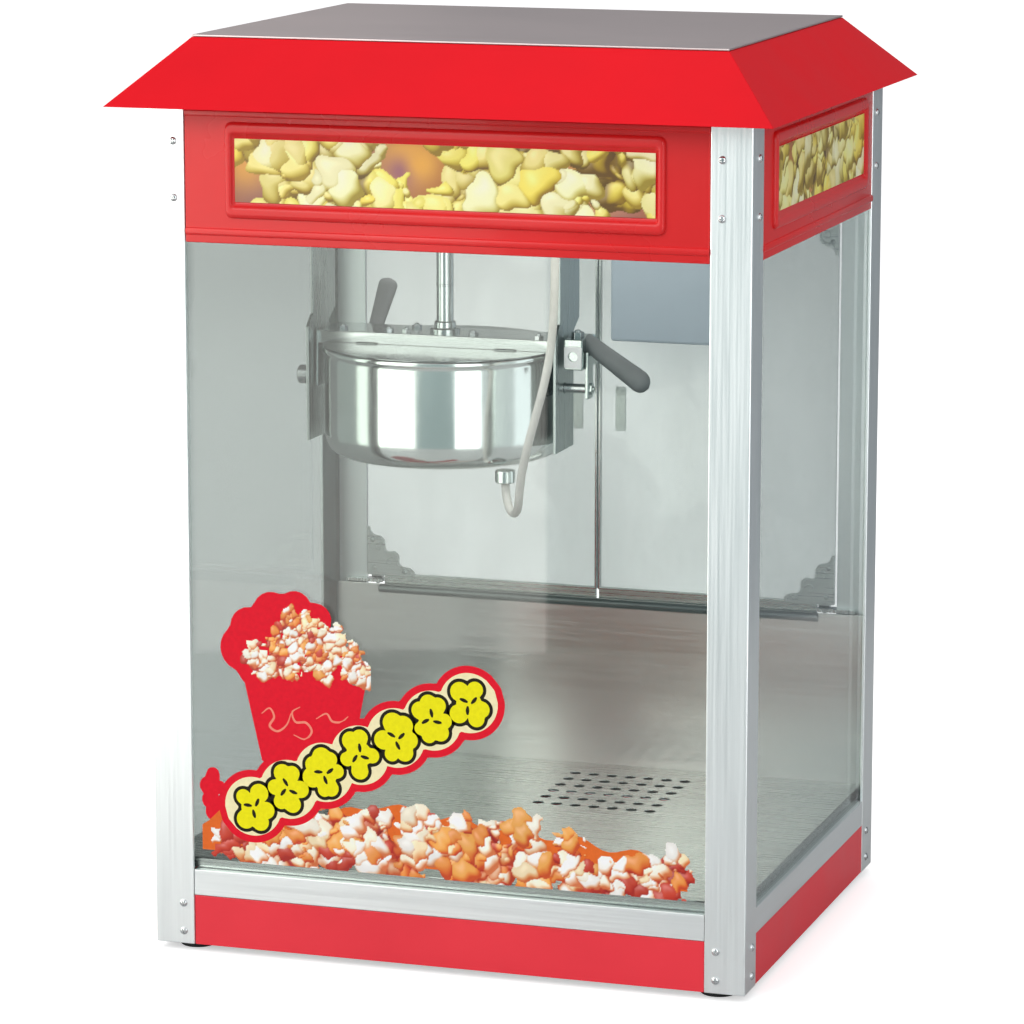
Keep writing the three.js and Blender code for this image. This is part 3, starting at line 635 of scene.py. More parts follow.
def hexagon(point, facing, across=7.0, height=3.0, twist=0.0):
    """A nut or a bolt head, standing on the surface at the point."""
    nut = prism("nut", circle(0, 0, across / 1.732, 6), -0.3, height, "XY", 0.35)
    stud = lathe("stud", [(0, 0), (across * 0.27, 0), (across * 0.27, height + 1.2),
                          (across * 0.2, height + 1.6), (0, height + 1.6)], sides=16)
    whole = joined("bolt", [nut, stud])
    return place(whole, Matrix.Translation(Vector(point)) @ FACES[facing]
                 @ Matrix.Rotation(math.pi / 2, 4, "X") @ Matrix.Rotation(math.radians(twist), 4, "Z"))


dice = random.Random(7)


def screws(name, places, radius=3.4):
    """Screw heads on the cabinet as one piece, each turned by chance."""
    heads = [screw(point, facing, radius, dice.uniform(0, 90)) for point, facing in places]
    return finish_piece(joined(name, heads), SCREW_STEEL, "cabinet")


SCREW_IN = POST_LEG * 0.72
SCREW_LEVELS = (17.0, 41.0, 633.0, 679.0)
for end, ey in (("front", -1), ("rear", 1)):
    for side, sx in (("left", -1), ("right", 1)):
        face_y, face_x = ("-Y", "+Y")[ey > 0], ("-X", "+X")[sx > 0]
        places = [((sx * (HALF_W - SCREW_IN), ey * HALF_D, z), face_y) for z in SCREW_LEVELS]
        places += [((sx * HALF_W, ey * (HALF_D - SCREW_IN * 0.86), z), face_x) for z in SCREW_LEVELS]
        screws(f"screws_{end}_{side}", places)

BRACKET_SCREW_IN, BRACKET_SCREW_Y = 21, 208.2
for side, sx in (("left", -1), ("right", 1)):
    middle = sx * (HALF_W - BRACKET_SCREW_IN)
    places = [((middle, BRACKET_SCREW_Y, z), "-Y") for z in (209.0, 225.0)]
    screws(f"bracket_screws_{side}", places, radius=3.2)

# ---- header: moulded frame round a picture window -----------------------------------------------------

HEADER_LOW, HEADER_HIGH = 597.0, 705.0
FRAME_LOW, FRAME_HIGH, FRAME_IN, FRAME_UP = 618.0, 696.0, 8.0, 13.0
RIDGE = [(0.4, 603.0), (-0.9, 603.6), (-1.5, 604.8), (-1.6, 606.2), (-1.5, 607.6), (-0.9, 608.8),
         (0.4, 609.4)]
TOP_LIP = [(0.4, 699.5), (-0.8, 700.2), (-1.2, 701.6), (-1.2, 704.4), (0.4, 704.8)]
FRAME_SECTION = ((0.0, -0.4), (0.0, 1.4), (0.06, 2.6), (0.16, 3.5), (0.28, 3.95), (0.55, 3.95),
                 (0.66, 3.6), (0.74, 2.4), (0.86, 0.9), (1.0, 0.25), (1.0, -0.4))


def moulding(half, low, high, reach_in, reach_up):
    """A raised picture frame: the section is swept round a rectangle with round corners."""
    rings, verts, faces = [], [], []
    for inward, out in FRAME_SECTION:
        in_x, in_z = inward * reach_in, inward * reach_up
        ring = rounded_outline((-half + in_x, low + in_z), (half - in_x, high - in_z), 6.0 - 4.5 * inward, 5)
        rings.append(range(len(verts), len(verts) + len(ring)))
        verts += [(x, -out, z) for x, z in ring]
    for a, b in zip(rings, rings[1:] + rings[:1]):
        for k in range(len(a)):
            n = (k + 1) % len(a)
            faces.append((a[k], a[n], b[n], b[k]))
    piece = tidy_normals(new_object("frame", verts, faces))
    piece.data.shade_smooth()
    piece.data.set_sharp_from_angle(angle=math.radians(50))
    return piece


def header(name, half, window, reach, turn):
    """A moulded panel with a frame, a ridge below and a lip above, turned to its side of the cabinet."""
    plate = block("plate", (-half, 0, HEADER_LOW), (half, 2.2, HEADER_HIGH), 0.9, 3)
    end = half - 0.3
    ridge = prism("ridge", RIDGE, -end, end, "YZ", 0.3)
    top = prism("top", TOP_LIP, -end, end, "YZ", 0.3)
    frame_ring = moulding(window + FRAME_IN, FRAME_LOW, FRAME_HIGH, FRAME_IN, FRAME_UP)
    whole = joined(f"{name}_moulding", [plate, ridge, top, frame_ring])
    whole.data.set_sharp_from_angle(angle=math.radians(40))
    place(whole, Matrix.Rotation(turn * math.pi / 2, 4, "Z") @ Matrix.Translation((0, 0.4 - reach, 0)))
    return finish_piece(whole, RED_PLASTIC, "cabinet", [name])


HEADER_IN = POST_LEG + POST_GAP
HEADERS = (("front", HALF_W - HEADER_IN, 177.0, HALF_D, 0), ("right", HALF_D - HEADER_IN, 144.0, HALF_W, 1),
           ("left", HALF_D - HEADER_IN, 144.0, HALF_W, 3))
for side, half, window, reach, turn in HEADERS:
    header(f"header_{side}", half, window, reach, turn)

# ---- popcorn artwork, worked out in code as clusters of round lobes -----------------------------------


def soft(values, reach):
    """A box blur by running sums."""
    for axis in (0, 1):
        padded = np.concatenate([np.repeat(values.take([0], axis), reach + 1, axis), values,
                                 np.repeat(values.take([-1], axis), reach, axis)], axis)
        total = padded.cumsum(axis)
        count = values.shape[axis]
        values = (total.take(range(2 * reach + 1, 2 * reach + 1 + count), axis)
                  - total.take(range(count), axis)) / (2 * reach + 1)
    return values


def shaded(level, normal, ink, size, step, fall):
    """The drawn kernels' colours, lit from the upper left, with shadow in the hollows between them."""
    hollow = np.clip(1 + (level - soft(level, max(int(size * 0.22 / step), 1))) / (size * 0.16), 0.0, 1.0)
    light = np.array([-0.38, 0.62, 0.68])
    lit = np.clip(normal @ light, 0, 1)
    shine = np.clip(normal @ np.array([-0.25, 0.86, 0.44]), 0, 1) ** 14
    strength = (0.30 + 0.86 * lit) * (0.25 + 0.75 * hollow)
    share = np.clip((strength - 0.10) / 0.66, 0.10, 1)[..., None]
    color = ink * share ** np.array(fall)
    return np.clip(color + 0.16 * shine[..., None], 0, 1)


def popcorn(width, height, step, seed, size, inside, hues, fall, small=0, patchy=0.2):
    """Popcorn as a grid of colours, with where it lies. fall says how fast each colour goes into shadow."""
    dots = np.random.default_rng(seed)
    across, up = int(round(width / step)) + 1, int(round(height / step)) + 1
    x, z = np.meshgrid(np.linspace(0, width, across), np.linspace(0, height, up))
    warp = size * 0.022
    wide, tall = x.copy(), z.copy()
    for grid in (wide, tall):
        for _ in range(5):
            wave = 2 * math.pi / (size * dots.uniform(0.22, 0.8))
            angle, phase = dots.uniform(0, 2 * math.pi, 2)
            grid += warp * np.sin(wave * (x * math.cos(angle) + z * math.sin(angle)) + phase)
    top = np.full(x.shape, -1e9)
    normal = np.zeros(x.shape + (3,))
    ink = np.zeros(x.shape + (3,))
    pitch = size * 0.66
    seats = [(a * pitch + dots.uniform(-0.3, 0.3) * pitch + (b % 2) * pitch / 2,
              b * pitch * 0.8 + dots.uniform(-0.3, 0.3) * pitch)
             for a in range(-1, int(width / pitch) + 2)
             for b in range(-1, int(height / pitch / 0.8) + 2)]
    dots.shuffle(seats)
    for cx, cz in seats:
        if not inside(cx, cz):
            continue
        scale = size * dots.uniform(0.42, 0.62)
        base = dots.uniform(0, size * 0.7)
        own = hues[dots.integers(len(hues))]
        big = dots.integers(6, 9)
        for lobe in range(big + small):
            fine = lobe >= big
            angle = 2 * math.pi * (lobe + dots.uniform(-0.3, 0.3)) / (small if fine else big)
            away = scale * (dots.uniform(0.15, 0.95) if fine else dots.uniform(0.35, 0.75) if lobe else 0.0)
            lx, lz = cx + away * math.cos(angle), cz + away * math.sin(angle)
            radius = scale * (dots.uniform(0.10, 0.24) if fine else dots.uniform(0.32, 0.56))
            rise = base + scale * (1 - away / scale / 1.4) * (dots.uniform(0.30, 0.52) if fine
                                                              else dots.uniform(-0.1, 0.35))
            shade = own if dots.random() > patchy else hues[dots.integers(len(hues))]
            reach = radius * 1.3 + 4 * warp
            i0, i1 = max(int((lx - reach) / step), 0), min(int((lx + reach) / step) + 2, across)
            j0, j1 = max(int((lz - reach) / step), 0), min(int((lz + reach) / step) + 2, up)
            if i0 >= i1 or j0 >= j1:
                continue
            lean, long = dots.uniform(0, math.pi), dots.uniform(1.0, 1.3)
            away_x = (wide[j0:j1, i0:i1] - lx) / radius
            away_z = (tall[j0:j1, i0:i1] - lz) / radius
            u = (away_x * math.cos(lean) + away_z * math.sin(lean)) / long
            v = (away_z * math.cos(lean) - away_x * math.sin(lean)) * long
            square = 1 - u * u - v * v
            level = rise + radius * np.sqrt(np.clip(square, 0, 1))
            here = (square > 0) & (level > top[j0:j1, i0:i1])
            top[j0:j1, i0:i1][here] = level[here]
            face = np.stack([u * math.cos(lean) - v * math.sin(lean), np.sqrt(np.clip(square, 0, 1)),
                             u * math.sin(lean) + v * math.cos(lean)], -1)
            normal[j0:j1, i0:i1][here] = face[here]
            warm = dots.uniform(0.86, 1.08)
            ink[j0:j1, i0:i1][here] = np.clip(np.array(shade) * warm, 0, 1)
    cover = top > -1e8
    return shaded(np.where(cover, top, 0.0), normal, ink, size, step, fall), cover


def grid_mesh(name, width, height, color, keep):
    """A fine upright grid in X and Z facing -Y, with its colours in the tint attribute."""
    up, across = keep.shape
    x, z = np.meshgrid(np.linspace(0, width, across), np.linspace(0, height, up))
    whole = keep[:-1, :-1] & keep[1:, :-1] & keep[:-1, 1:] & keep[1:, 1:]
    index = np.arange(up * across).reshape(up, across)
    quads = np.stack([index[:-1, :-1], index[:-1, 1:], index[1:, 1:], index[1:, :-1]], -1)[whole]
    used, quads = np.unique(quads, return_inverse=True)
    quads = quads.reshape(-1, 4)
    points = np.stack([x.ravel(), np.zeros(x.size), z.ravel()], -1)[used] * MM
    mesh = bpy.data.meshes.new(name)
    mesh.from_pydata(points.tolist(), [], quads.tolist())
    tint = mesh.color_attributes.new("tint", "FLOAT_COLOR", "POINT")
    rgba = np.concatenate([color.reshape(-1, 3)[used], np.ones((len(used), 1))], 1)
    tint.data.foreach_set("color", rgba.astype(np.float32).ravel())
    piece = bpy.data.objects.new(name, mesh)
    bpy.context.collection.objects.link(piece)
    return piece


BUTTER = ((0.97, 0.88, 0.24), (0.95, 0.85, 0.16), (0.98, 0.91, 0.36), (0.93, 0.78, 0.12),
          (0.98, 0.94, 0.52), (0.96, 0.84, 0.28))
CREAM = ((1.0, 0.98, 0.93), (0.99, 0.94, 0.80), (1.0, 0.99, 0.96), (0.99, 0.90, 0.70), (1.0, 0.97, 0.90),
         (0.93, 0.42, 0.08), (0.85, 0.30, 0.05), (0.60, 0.05, 0.02), (0.98, 0.80, 0.50))
BUTTER_FALL, CREAM_FALL = (0.85, 1.10, 2.6), (0.30, 1.45, 2.4)


PATCHES = ((0.85, 0.42, 0.06), (0.20, 0.07, 0.10), (0.55, 0.25, 0.08), (0.95, 0.62, 0.15), (0.30, 0.10, 0.16))


def backdrop(width, height, shape, seed):
    """Soft patches of brown, purple and orange behind the popcorn of a header picture."""
    dots = np.random.default_rng(seed)
    up, across = shape
    x, z = np.meshgrid(np.linspace(0, width, across), np.linspace(0, height, up))
    color = np.zeros(shape + (3,)) + np.array((0.40, 0.13, 0.03))
    for _ in range(26):
        patch = np.array(PATCHES[dots.integers(len(PATCHES))])
        away = (x - dots.uniform(0, width)) ** 2 + (z - dots.uniform(0, height)) ** 2
        share = np.exp(-away / (2 * dots.uniform(8, 22) ** 2))[..., None]
        color = color * (1 - share) + patch * share
    return color


PICTURE_LOW = 631.4


def header_picture(side, window, reach, turn, seed):
    """The popcorn picture in a header's frame, on a backing sheet."""
    width, height, step = 2 * window - 0.8, 51.2, 0.9
    dots = np.random.default_rng(seed)
    color, cover = popcorn(width, height, step, seed, 62.0, lambda x, z: dots.random() > 0.2,
                           BUTTER, BUTTER_FALL, 18, 0.35)
    ground = backdrop(width, height, cover.shape, seed + 1)
    color = np.where(cover[..., None], color, ground)
    front = grid_mesh("front", width, height, color, np.ones(cover.shape, bool))
    shift = (Matrix.Rotation(turn * math.pi / 2, 4, "Z")
             @ Matrix.Translation((-width / 2, -0.9 - reach, PICTURE_LOW)))
    place(front, shift)
    picture = finish_piece(front, INK, "cabinet", [f"picture_{side}"])
    picture.name = f"picture_print_{side}"
    back = block(f"picture_back_{side}", (0, 0.1, 0), (width, 0.6, height), 0.05, 1)
    finish_piece(place(back, shift), CREAM_VINYL, "cabinet")


for seed, (side, half, window, reach, turn) in enumerate(HEADERS):
    header_picture(side, window, reach, turn, 40 + 7 * seed)

# ---- decoration printed on the front glass ------------------------------------------------------------


LAYER = 0.09


def film(name, outlines, layer, material):
    """A thin printed shape on the front glass. Each layer lies in front of the one before."""
    away = GLASS_FACE - 0.05 - LAYER * layer
    sheet = cut_sheet(name, outlines, away - 0.03, away + 0.03, "XZ")
    return finish_piece(sheet, material, "cabinet")


def lobed(x, z, lobes, grow=0.0, steps=72):
    """The outline of overlapping circles as seen from a middle point inside them all."""
    points = []
    for k in range(steps):
        angle = 2 * math.pi * k / steps
        ux, uz = math.cos(angle), math.sin(angle)
        reach = 0.0
        for dx, dz, radius in lobes:
            along, off = dx * ux + dz * uz, dx * uz - dz * ux
            inside = (radius + grow) ** 2 - off * off
            if inside > 0:
                reach = max(reach, along + math.sqrt(inside))
        points.append((x + ux * reach, z + uz * reach))
    return points


def blob(seed, wide, tall, count):
    """The round lobes of one popped kernel."""
    dots = random.Random(seed)
    lobes = [(0.0, 0.0, min(wide, tall) * 0.34)]
    for k in range(count):
        angle = 2 * math.pi * (k + dots.uniform(-0.25, 0.25)) / count
        lobes.append((wide * 0.30 * math.cos(angle), tall * 0.30 * math.sin(angle),
                      dots.uniform(0.17, 0.25) * (wide + tall) / 2))
    return lobes


# the red tub, with scalloped lobes behind its heap
film("tub_back", [lobed(-134, 256, [(0, 0, 40), (-42, 6, 20), (-36, 24, 17), (-16, 38, 17), (4, 42, 15),
                                    (22, 34, 14), (-24, -6, 24), (28, -14, 26)])], 0, RED_VINYL)
film("tub", [[(-177, 243), (-160, 168), (-86, 148), (-69, 236), (-96, 240), (-132, 240)]], 1, RED_VINYL)


def stroke(name, points, width, layer, material):
    """A pen stroke that is thin at both ends."""
    line = smooth_path([(x, 0, z) for x, z in points], 7)
    left, right = [], []
    for k, p in enumerate(line):
        ahead = (line[min(k + 1, len(line) - 1)] - line[max(k - 1, 0)]).normalized()
        half = width * (0.35 + 0.65 * math.sin(math.pi * (k + 0.5) / len(line))) / 2
        left.append((p.x - ahead.z * half, p.z + ahead.x * half))
        right.append((p.x + ahead.z * half, p.z - ahead.x * half))
    film(name, [left + right[::-1]], layer, material)


SWIRLS = (
    ("a", 2.0, [(-160, 208), (-153, 213), (-149, 206), (-153, 198), (-146, 194), (-138, 200), (-134, 210)]),
    ("b", 2.0, [(-126, 216), (-133, 211), (-130, 203), (-121, 203), (-116, 196), (-122, 189), (-132, 192)]),
    ("c", 1.8, [(-112, 207), (-103, 212), (-98, 206), (-90, 206), (-84, 211)]))
for letter, width, points in SWIRLS:
    stroke(f"tub_swirl_{letter}", points, width, 2, PINK_VINYL)


def printed_popcorn(name, low, size, step, seed, grain_size, inside, layer):
    """Pale popcorn printed on the front glass, wherever inside(x, z) is true."""
    color, cover = popcorn(size[0], size[1], step, seed, grain_size,
                           lambda x, z: inside(x + low[0], z + low[1]), CREAM, CREAM_FALL, 8, 0.5)
    piece = grid_mesh(name, size[0], size[1], color, cover)
    place(piece, Matrix.Translation((low[0], GLASS_FACE - LAYER - LAYER * layer, low[1])))
    return finish_piece(piece, INK, "cabinet")


HEAP = ((-150, 259, 18), (-128, 274, 22), (-104, 267, 21), (-82, 256, 16), (-118, 252, 20), (-164, 251, 9),
        (-72, 246, 9))
TUB_RIM = 243


def in_heap(x, z):
    return z > TUB_RIM and any(math.hypot(x - a, z - b) < r for a, b, r in HEAP)


printed_popcorn("tub_popcorn", (-184, 228), (120, 84), 0.8, 5, 17.0, in_heap, 2)

# the band of popcorn along the foot of the glass
BAND = ((-216, 118), (-190, 132), (-150, 140), (-100, 132), (-60, 145), (-20, 140), (20, 136), (60, 132),
        (100, 130), (140, 125), (180, 118), (214, 104))


def band_height(x):
    return float(np.interp(x, [p[0] for p in BAND], [p[1] for p in BAND]))


def in_band(x, z):
    return 80 < z < band_height(x) - 8 + 4 * math.sin(x / 9.0) and -208 < x < 202


printed_popcorn("band_popcorn", (-219, 80), (431, 76), 0.85, 11, 36.0, in_band, 2)
band_top = [(x, band_height(x) - 6 + 4 * math.sin(x / 8.0)) for x in range(-214, 206, 6)]
film("band_shadow", [[(-214, 88)] + band_top + [(206, 88)]], 1, ORANGE_VINYL)
flare = lobed(-206, 131, [(0, 0, 8), (-2, 12, 8), (2, 22, 6), (3, -10, 8), (8, 12, 5)])
film("band_flare", [flare], 0, RED_VINYL)

# the tilted banner, with popped kernels for its ornament
LEFT, RIGHT = Vector((-184, 120)), Vector((36, 238.5))
ALONG = (RIGHT - LEFT).normalized()
UP = Vector((-ALONG.y, ALONG.x))
LENGTH = (RIGHT - LEFT).length
KERNELS, KERNEL_REACH = 7, 23.0
KERNEL_STEP = LENGTH / KERNELS


def banner(grow):
    """A long outline that follows the round kernels on it, larger by grow all round."""
    top, bottom = [], []
    radius = KERNEL_REACH + grow
    steps = 120
    start, stop = KERNEL_STEP / 2 - radius, LENGTH - KERNEL_STEP / 2 + radius
    for k in range(steps + 1):
        s = start + (stop - start) * k / steps
        high = max(radius ** 2 - (s - KERNEL_STEP * (n + 0.5)) ** 2 for n in range(KERNELS))
        half = math.sqrt(max(high, 1.0))
        top.append(LEFT + ALONG * s + UP * half)
        bottom.append(LEFT + ALONG * s - UP * half)
    return [(p.x, p.y) for p in bottom + top[::-1]]


film("banner_edge", [banner(8.0)], 3, RED_VINYL)
film("banner_field", [banner(2.0)], 4, CREAM_VINYL)
for k in range(KERNELS):
    spot = LEFT + ALONG * (KERNEL_STEP * (k + 0.5)) + UP * (1.0 if k % 2 else -1.0)
    lobes = blob(60 + k, 37, 46, 5 + k % 3)
    film(f"banner_kernel_edge_{k}", [lobed(spot.x, spot.y, lobes, 1.2)], 5, BLACK_VINYL)
    film(f"banner_kernel_{k}", [lobed(spot.x, spot.y, lobes, -1.6)], 6, YELLOW_VINYL)
    for n, turn in enumerate((0.6, 2.5, 4.4)):
        bend = [(spot.x + r * math.cos(turn + k + t), spot.y + r * math.sin(turn + k + t))
                for r, t in ((2.0, 0.0), (5.5, 0.35), (9.0, 0.45))]
        stroke(f"banner_crease_{k}_{n}", bend, 3.0, 7, BLACK_VINYL)

# ---- popping chamber ----------------------------------------------------------------------------------

deck_low, deck_high = box_mm("deck")
HOLES = [(-6.0 + 17 * i, 54.0 + 22 * j) for i in range(7) for j in range(6)]
(deck_x0, deck_y0, deck_z0), (deck_x1, deck_y1, deck_z1) = deck_low, deck_high
SHEET, SKIRT_TOP = 1.5, 79.5
deck_edge = [(deck_x0, deck_y0), (deck_x1, deck_y0), (deck_x1, deck_y1), (deck_x0, deck_y1)]
deck_sheet = cut_sheet("deck_top", [deck_edge] + [circle(x, y, 5.0) for x, y in HOLES],
                       deck_z1 - SHEET, deck_z1, "XY", 0.25)
deck_skirts = [block("skirt", (deck_x0, deck_y0, deck_z0), (deck_x1, deck_y0 + SHEET, SKIRT_TOP)),
               block("skirt", (deck_x0, deck_y0, deck_z0), (deck_x0 + SHEET, deck_y1, SKIRT_TOP)),
               block("skirt", (deck_x1 - SHEET, deck_y0, deck_z0), (deck_x1, deck_y1, SKIRT_TOP))]
finish_piece(joined("deck_sheet", [deck_sheet] + deck_skirts), STEEL_ACROSS, "cabinet", ["deck"])

back_low, back_high = box_mm("back_panel")
BACK_Y = 202.6
rim = lathe("back_panel_rim",
            [(0, -206.4), (3.4, -206.4), (3.9, -205.6), (3.9, 205.6), (3.4, 206.4), (0, 206.4)],
            (0, BACK_Y, 229.0), "X", 32)
panel = block("back_panel_polished", (back_low[0], BACK_Y, back_low[2]),
              (back_high[0], BACK_Y + SHEET, back_high[2]), 0.5, 2)
finish_piece(panel, BACK_STEEL, "cabinet", ["back_panel"])
# the rim takes the darkened steel, a painted shade
finish_piece(rim, SHADED_RIM_STEEL, "cabinet", ["back_panel"])


def scroll_outline():
    """The stamped corner plate: three scallops between two long tips."""
    scallops = ((44, 0), (45.5, 4), (41, 8), (34, 9), (30.5, 13), (30.5, 19), (26, 23), (20, 22.5),
                (17.2, 26), (16.8, 32), (13, 36.4), (7, 37.4), (3.6, 41), (2.4, 44.6))
    line = smooth_path([(a, b, 0) for a, b in scallops], 4)
    return [(0, 0)] + [(p.x, p.y) for p in line] + [(0, 44.8)]


PLATE_Y, DOOR_Y, DOOR_BACK_Y = 206.5, 207.6, 212.3
DOOR_LOW, DOOR_HIGH = 240.0, 596.4
CURLS = ((22, 13, 5.0, 20, 300), (11, 26, 4.4, 70, 300), (34, 4.6, 2.6, 0, 250))


def corner_plate(name, body, sx, outer, level, up, replaced=()):
    """A stamped plate on a door's inner face, in its outer corner. The lower ones carry the pin."""
    near, far = PLATE_Y, DOOR_Y
    outline = [(outer - sx * a, level + up * b) for a, b in scroll_outline()]
    plate = cut_sheet("plate", [outline], near, far, "XZ", 0.2)
    curls = []
    for a, b, radius, start, sweep_turn in CURLS:
        points = []
        for k in range(22):
            t = k / 21
            angle = math.radians(start + sweep_turn * t)
            r = radius * (1 - 0.72 * t)
            points.append((outer - sx * (a + r * math.cos(angle)), near - 0.1,
                           level + up * (b + r * math.sin(angle))))
        curls.append(sweep("bead", points, 0.75, 8))
    edge = [(outer - sx * a * 0.93, near - 0.05, level + up * b * 0.93) for a, b in scroll_outline()[2:-1]]
    curls.append(sweep("bead", edge, 0.55, 8))
    heads = [screw((outer - sx * a, near, level + up * b), "-Y", 2.2, 30 * a)
             for a, b in ((7, 7), (36, 4.4), (5, 33))]
    extras = []
    if replaced:
        pin = sx * 210.4
        extras = [block("tab", (pin - 5, near, 237.6), (pin + 5, 213.0, 239.6), 0.3),
                  block("tab", (pin - 5, near, 237.6), (pin + 5, far, 242.0), 0.3),
                  lathe("pin", [(0, 232), (1.6, 232), (2, 232.6), (2, 239), (0, 239)],
                        (pin, 210, 0), "Z", 20)]
    return finish_piece(joined(name, [plate] + curls + heads + extras), PLATE_STEEL, body,
                        replaced)


SILL_INSET, SILL_LOW, SILL_HIGH = 16.0, 229.5, 242.0
for side, sx in (("left", -1), ("right", 1)):
    door_low, door_high = box_mm(f"door_{side}")
    outer = sx * 219.4
    corner_plate(f"scroll_plate_{side}", f"door_{side}", sx, outer, DOOR_LOW, 1, [f"door_plate_{side}"])
    corner_plate(f"upper_scroll_plate_{side}", f"door_{side}", sx, outer, DOOR_HIGH, -1)
    pull = block(f"door_pull_{side}", (sx * 20 - 5, 212.0, 385), (sx * 20 + 5, 213.9, 425), 0.8, 3)
    finish_piece(pull, MIRROR_STEEL, f"door_{side}")
    inner = sx * 1.6
    edging = block(f"door_edging_{side}", (inner - 1, DOOR_Y, 240.4), (inner + 1, DOOR_BACK_Y, 596.6), 0.3)
    finish_piece(edging, STEEL_UP, f"door_{side}")
    sill_ends = sorted((inner, (door_low if sx < 0 else door_high)[0] - sx * SILL_INSET))
    sill = block(f"door_sill_{side}", (sill_ends[0], DOOR_Y, SILL_LOW),
                 (sill_ends[1], DOOR_BACK_Y, SILL_HIGH), 0.4, 2)
    finish_piece(sill, STEEL_ACROSS, f"door_{side}")

# ---- kettle -------------------------------------------------------------------------------------------

pan_outside = [(0, 397), (R - 17, 397), (R - 12, 397.6), (R - 7.6, 399.4), (R - 4.2, 402.4), (R - 1.9, 406.4),
               (R - 0.6, 411.5), (R, 418), (R, 421), (R, 481), (R, 483.2), (R + 0.5, 484.4), (R + 1.5, 484.8),
               (R + 2, 485.8), (R + 2, 487.6), (R + 1.4, 488.7), (R + 0.3, 489), (R - 0.9, 488.6),
               (R - 1.6, 487.4)]
pan_inside = [(R - 1.6, 419), (R - 3, 413), (R - 7, 409), (R - 14, 407.2), (0, 407)]
pan = lathe("pan", pan_outside + pan_inside, (KETTLE_X, 0, 0), "Z", 128, 40)
groove = lathe("base_ring", [(R - 24, 396.7), (R - 24, 397.4), (R - 30, 397.4), (R - 30, 396.7)],
               (KETTLE_X, 0, 0), "Z", 96)
finish_piece(joined("kettle_pan_polished", [pan, groove]), MIRROR_STEEL, "kettle",
             ["kettle_pan"])

boss = lathe("heater_boss_round",
             [(4.3, 386), (7.6, 386), (8.5, 386.8), (8.5, 395.6), (7.8, 396.6), (0, 396.6), (0, 391),
              (4.3, 391)],
             (4.2, -68, 0), "Z", 40)
finish_piece(boss, SATIN_STEEL, "kettle", ["heater_boss"])


def at_kettle(x):
    return KETTLE_X + x


bridge_x0, bridge_x1, LIP_LOW, LIP_TOP = at_kettle(-106.6), at_kettle(106.6), 489.4, 500.1
bridge = [block("web", (bridge_x0, -25, 498.6), (bridge_x1, 25, 500.5), 0.8, 3),
          block("lip", (bridge_x0, -25, LIP_LOW), (bridge_x1, -23.4, LIP_TOP), 0.5, 2),
          block("lip", (bridge_x0, 23.4, LIP_LOW), (bridge_x1, 25, LIP_TOP), 0.5, 2)]
ear_outline = [(-27, 452.4), (-26, 452), (-5, 452), (-3.4, 452.8), (9.4, 497), (10, 500.3), (-25, 500.3)]
for sx in (-1, 1):
    span = sorted((at_kettle(sx * 105.6), at_kettle(sx * 107.6)))
    bridge.append(prism("ear", ear_outline, span[0], span[1], "YZ", 0.5))
tube = [(5, 499.5), (7.25, 499.5), (7.25, 540), (7.6, 540.4), (7.6, 541.6), (7.25, 542), (7.25, 587.4),
        (6.7, 588), (5, 588)]
bridge.append(lathe("tube", tube, (KETTLE_X, 0, 0), "Z", 40))
collar = [(7.2, 500.4), (13, 500.4), (13, 503.4), (12.2, 504.2), (9.4, 504.6), (9.2, 509), (8.4, 510),
          (7.2, 510)]
bridge.append(lathe("collar", collar, (KETTLE_X, 0, 0), "Z", 40))
finish_piece(joined("kettle_bridge_folded", bridge), BRIDGE_STEEL, "kettle", ["kettle_bridge"])
pins = [lathe("pin", [(0, 0), (4, 0), (4, 24), (3.4, 24.6), (0, 24.6)],
              (at_kettle(106.4), TILT_Y, TILT_Z), "X", 32),
        lathe("pin", [(0, 0), (4, 0), (4, 20), (0, 20)], (at_kettle(-126.4), TILT_Y, TILT_Z), "X", 32),
        lathe("knob", [(0, 0), (7, 0), (8, 0.8), (8, 10), (9.6, 10.6), (9.6, 13), (5, 13.4), (0, 13.4)],
              (at_kettle(-127), TILT_Y, TILT_Z), "X", 40)]
finish_piece(joined("kettle_pivots", pins), SCREW_STEEL, "kettle")
BOLTS = ((-88, -12, 10), (-30, -13, 40), (-46, -13, 25), (30, -13, 5), (88, -13, 50), (92, 12, 0),
         (-30, 13, 20))
bolts = [hexagon((at_kettle(x), y, 500.5), "+Z", 7.5, 2.6, twist) for x, y, twist in BOLTS]
finish_piece(joined("bridge_bolts", bolts), SCREW_STEEL, "kettle")


LID_HINGE_Y, LID_HINGE_Z, KNUCKLE_R = 26.4, 490.8, 1.1


def half_moon(end, sign):
    """One lid: a thin sheet that ends straight at its hinge, with two knuckles on the hinge's line."""
    radius = R + 1.5
    start = math.asin(LID_HINGE_Y / radius)
    turns = [start + (math.pi - 2 * start) * k / 48 for k in range(49)]
    arc = [(KETTLE_X + radius * math.cos(turn), sign * radius * math.sin(turn)) for turn in turns]
    sheet = cut_sheet("sheet", [arc], 489.5, 490.7, "XY", 0.3)
    knuckle = [(0, -9), (KNUCKLE_R, -9), (KNUCKLE_R, 9), (0, 9)]
    knuckles = [lathe("knuckle", knuckle, (at_kettle(x), sign * LID_HINGE_Y, LID_HINGE_Z), "X", 16)
                for x in (-62, 62)]
    lid = f"lid_{end}"
    # the lids take the darkened steel, a painted shade
    finish_piece(joined(f"{end}_half_moon", [sheet] + knuckles), SHADED_LID_STEEL, lid, [lid])


half_moon("front", -1)
half_moon("rear", 1)


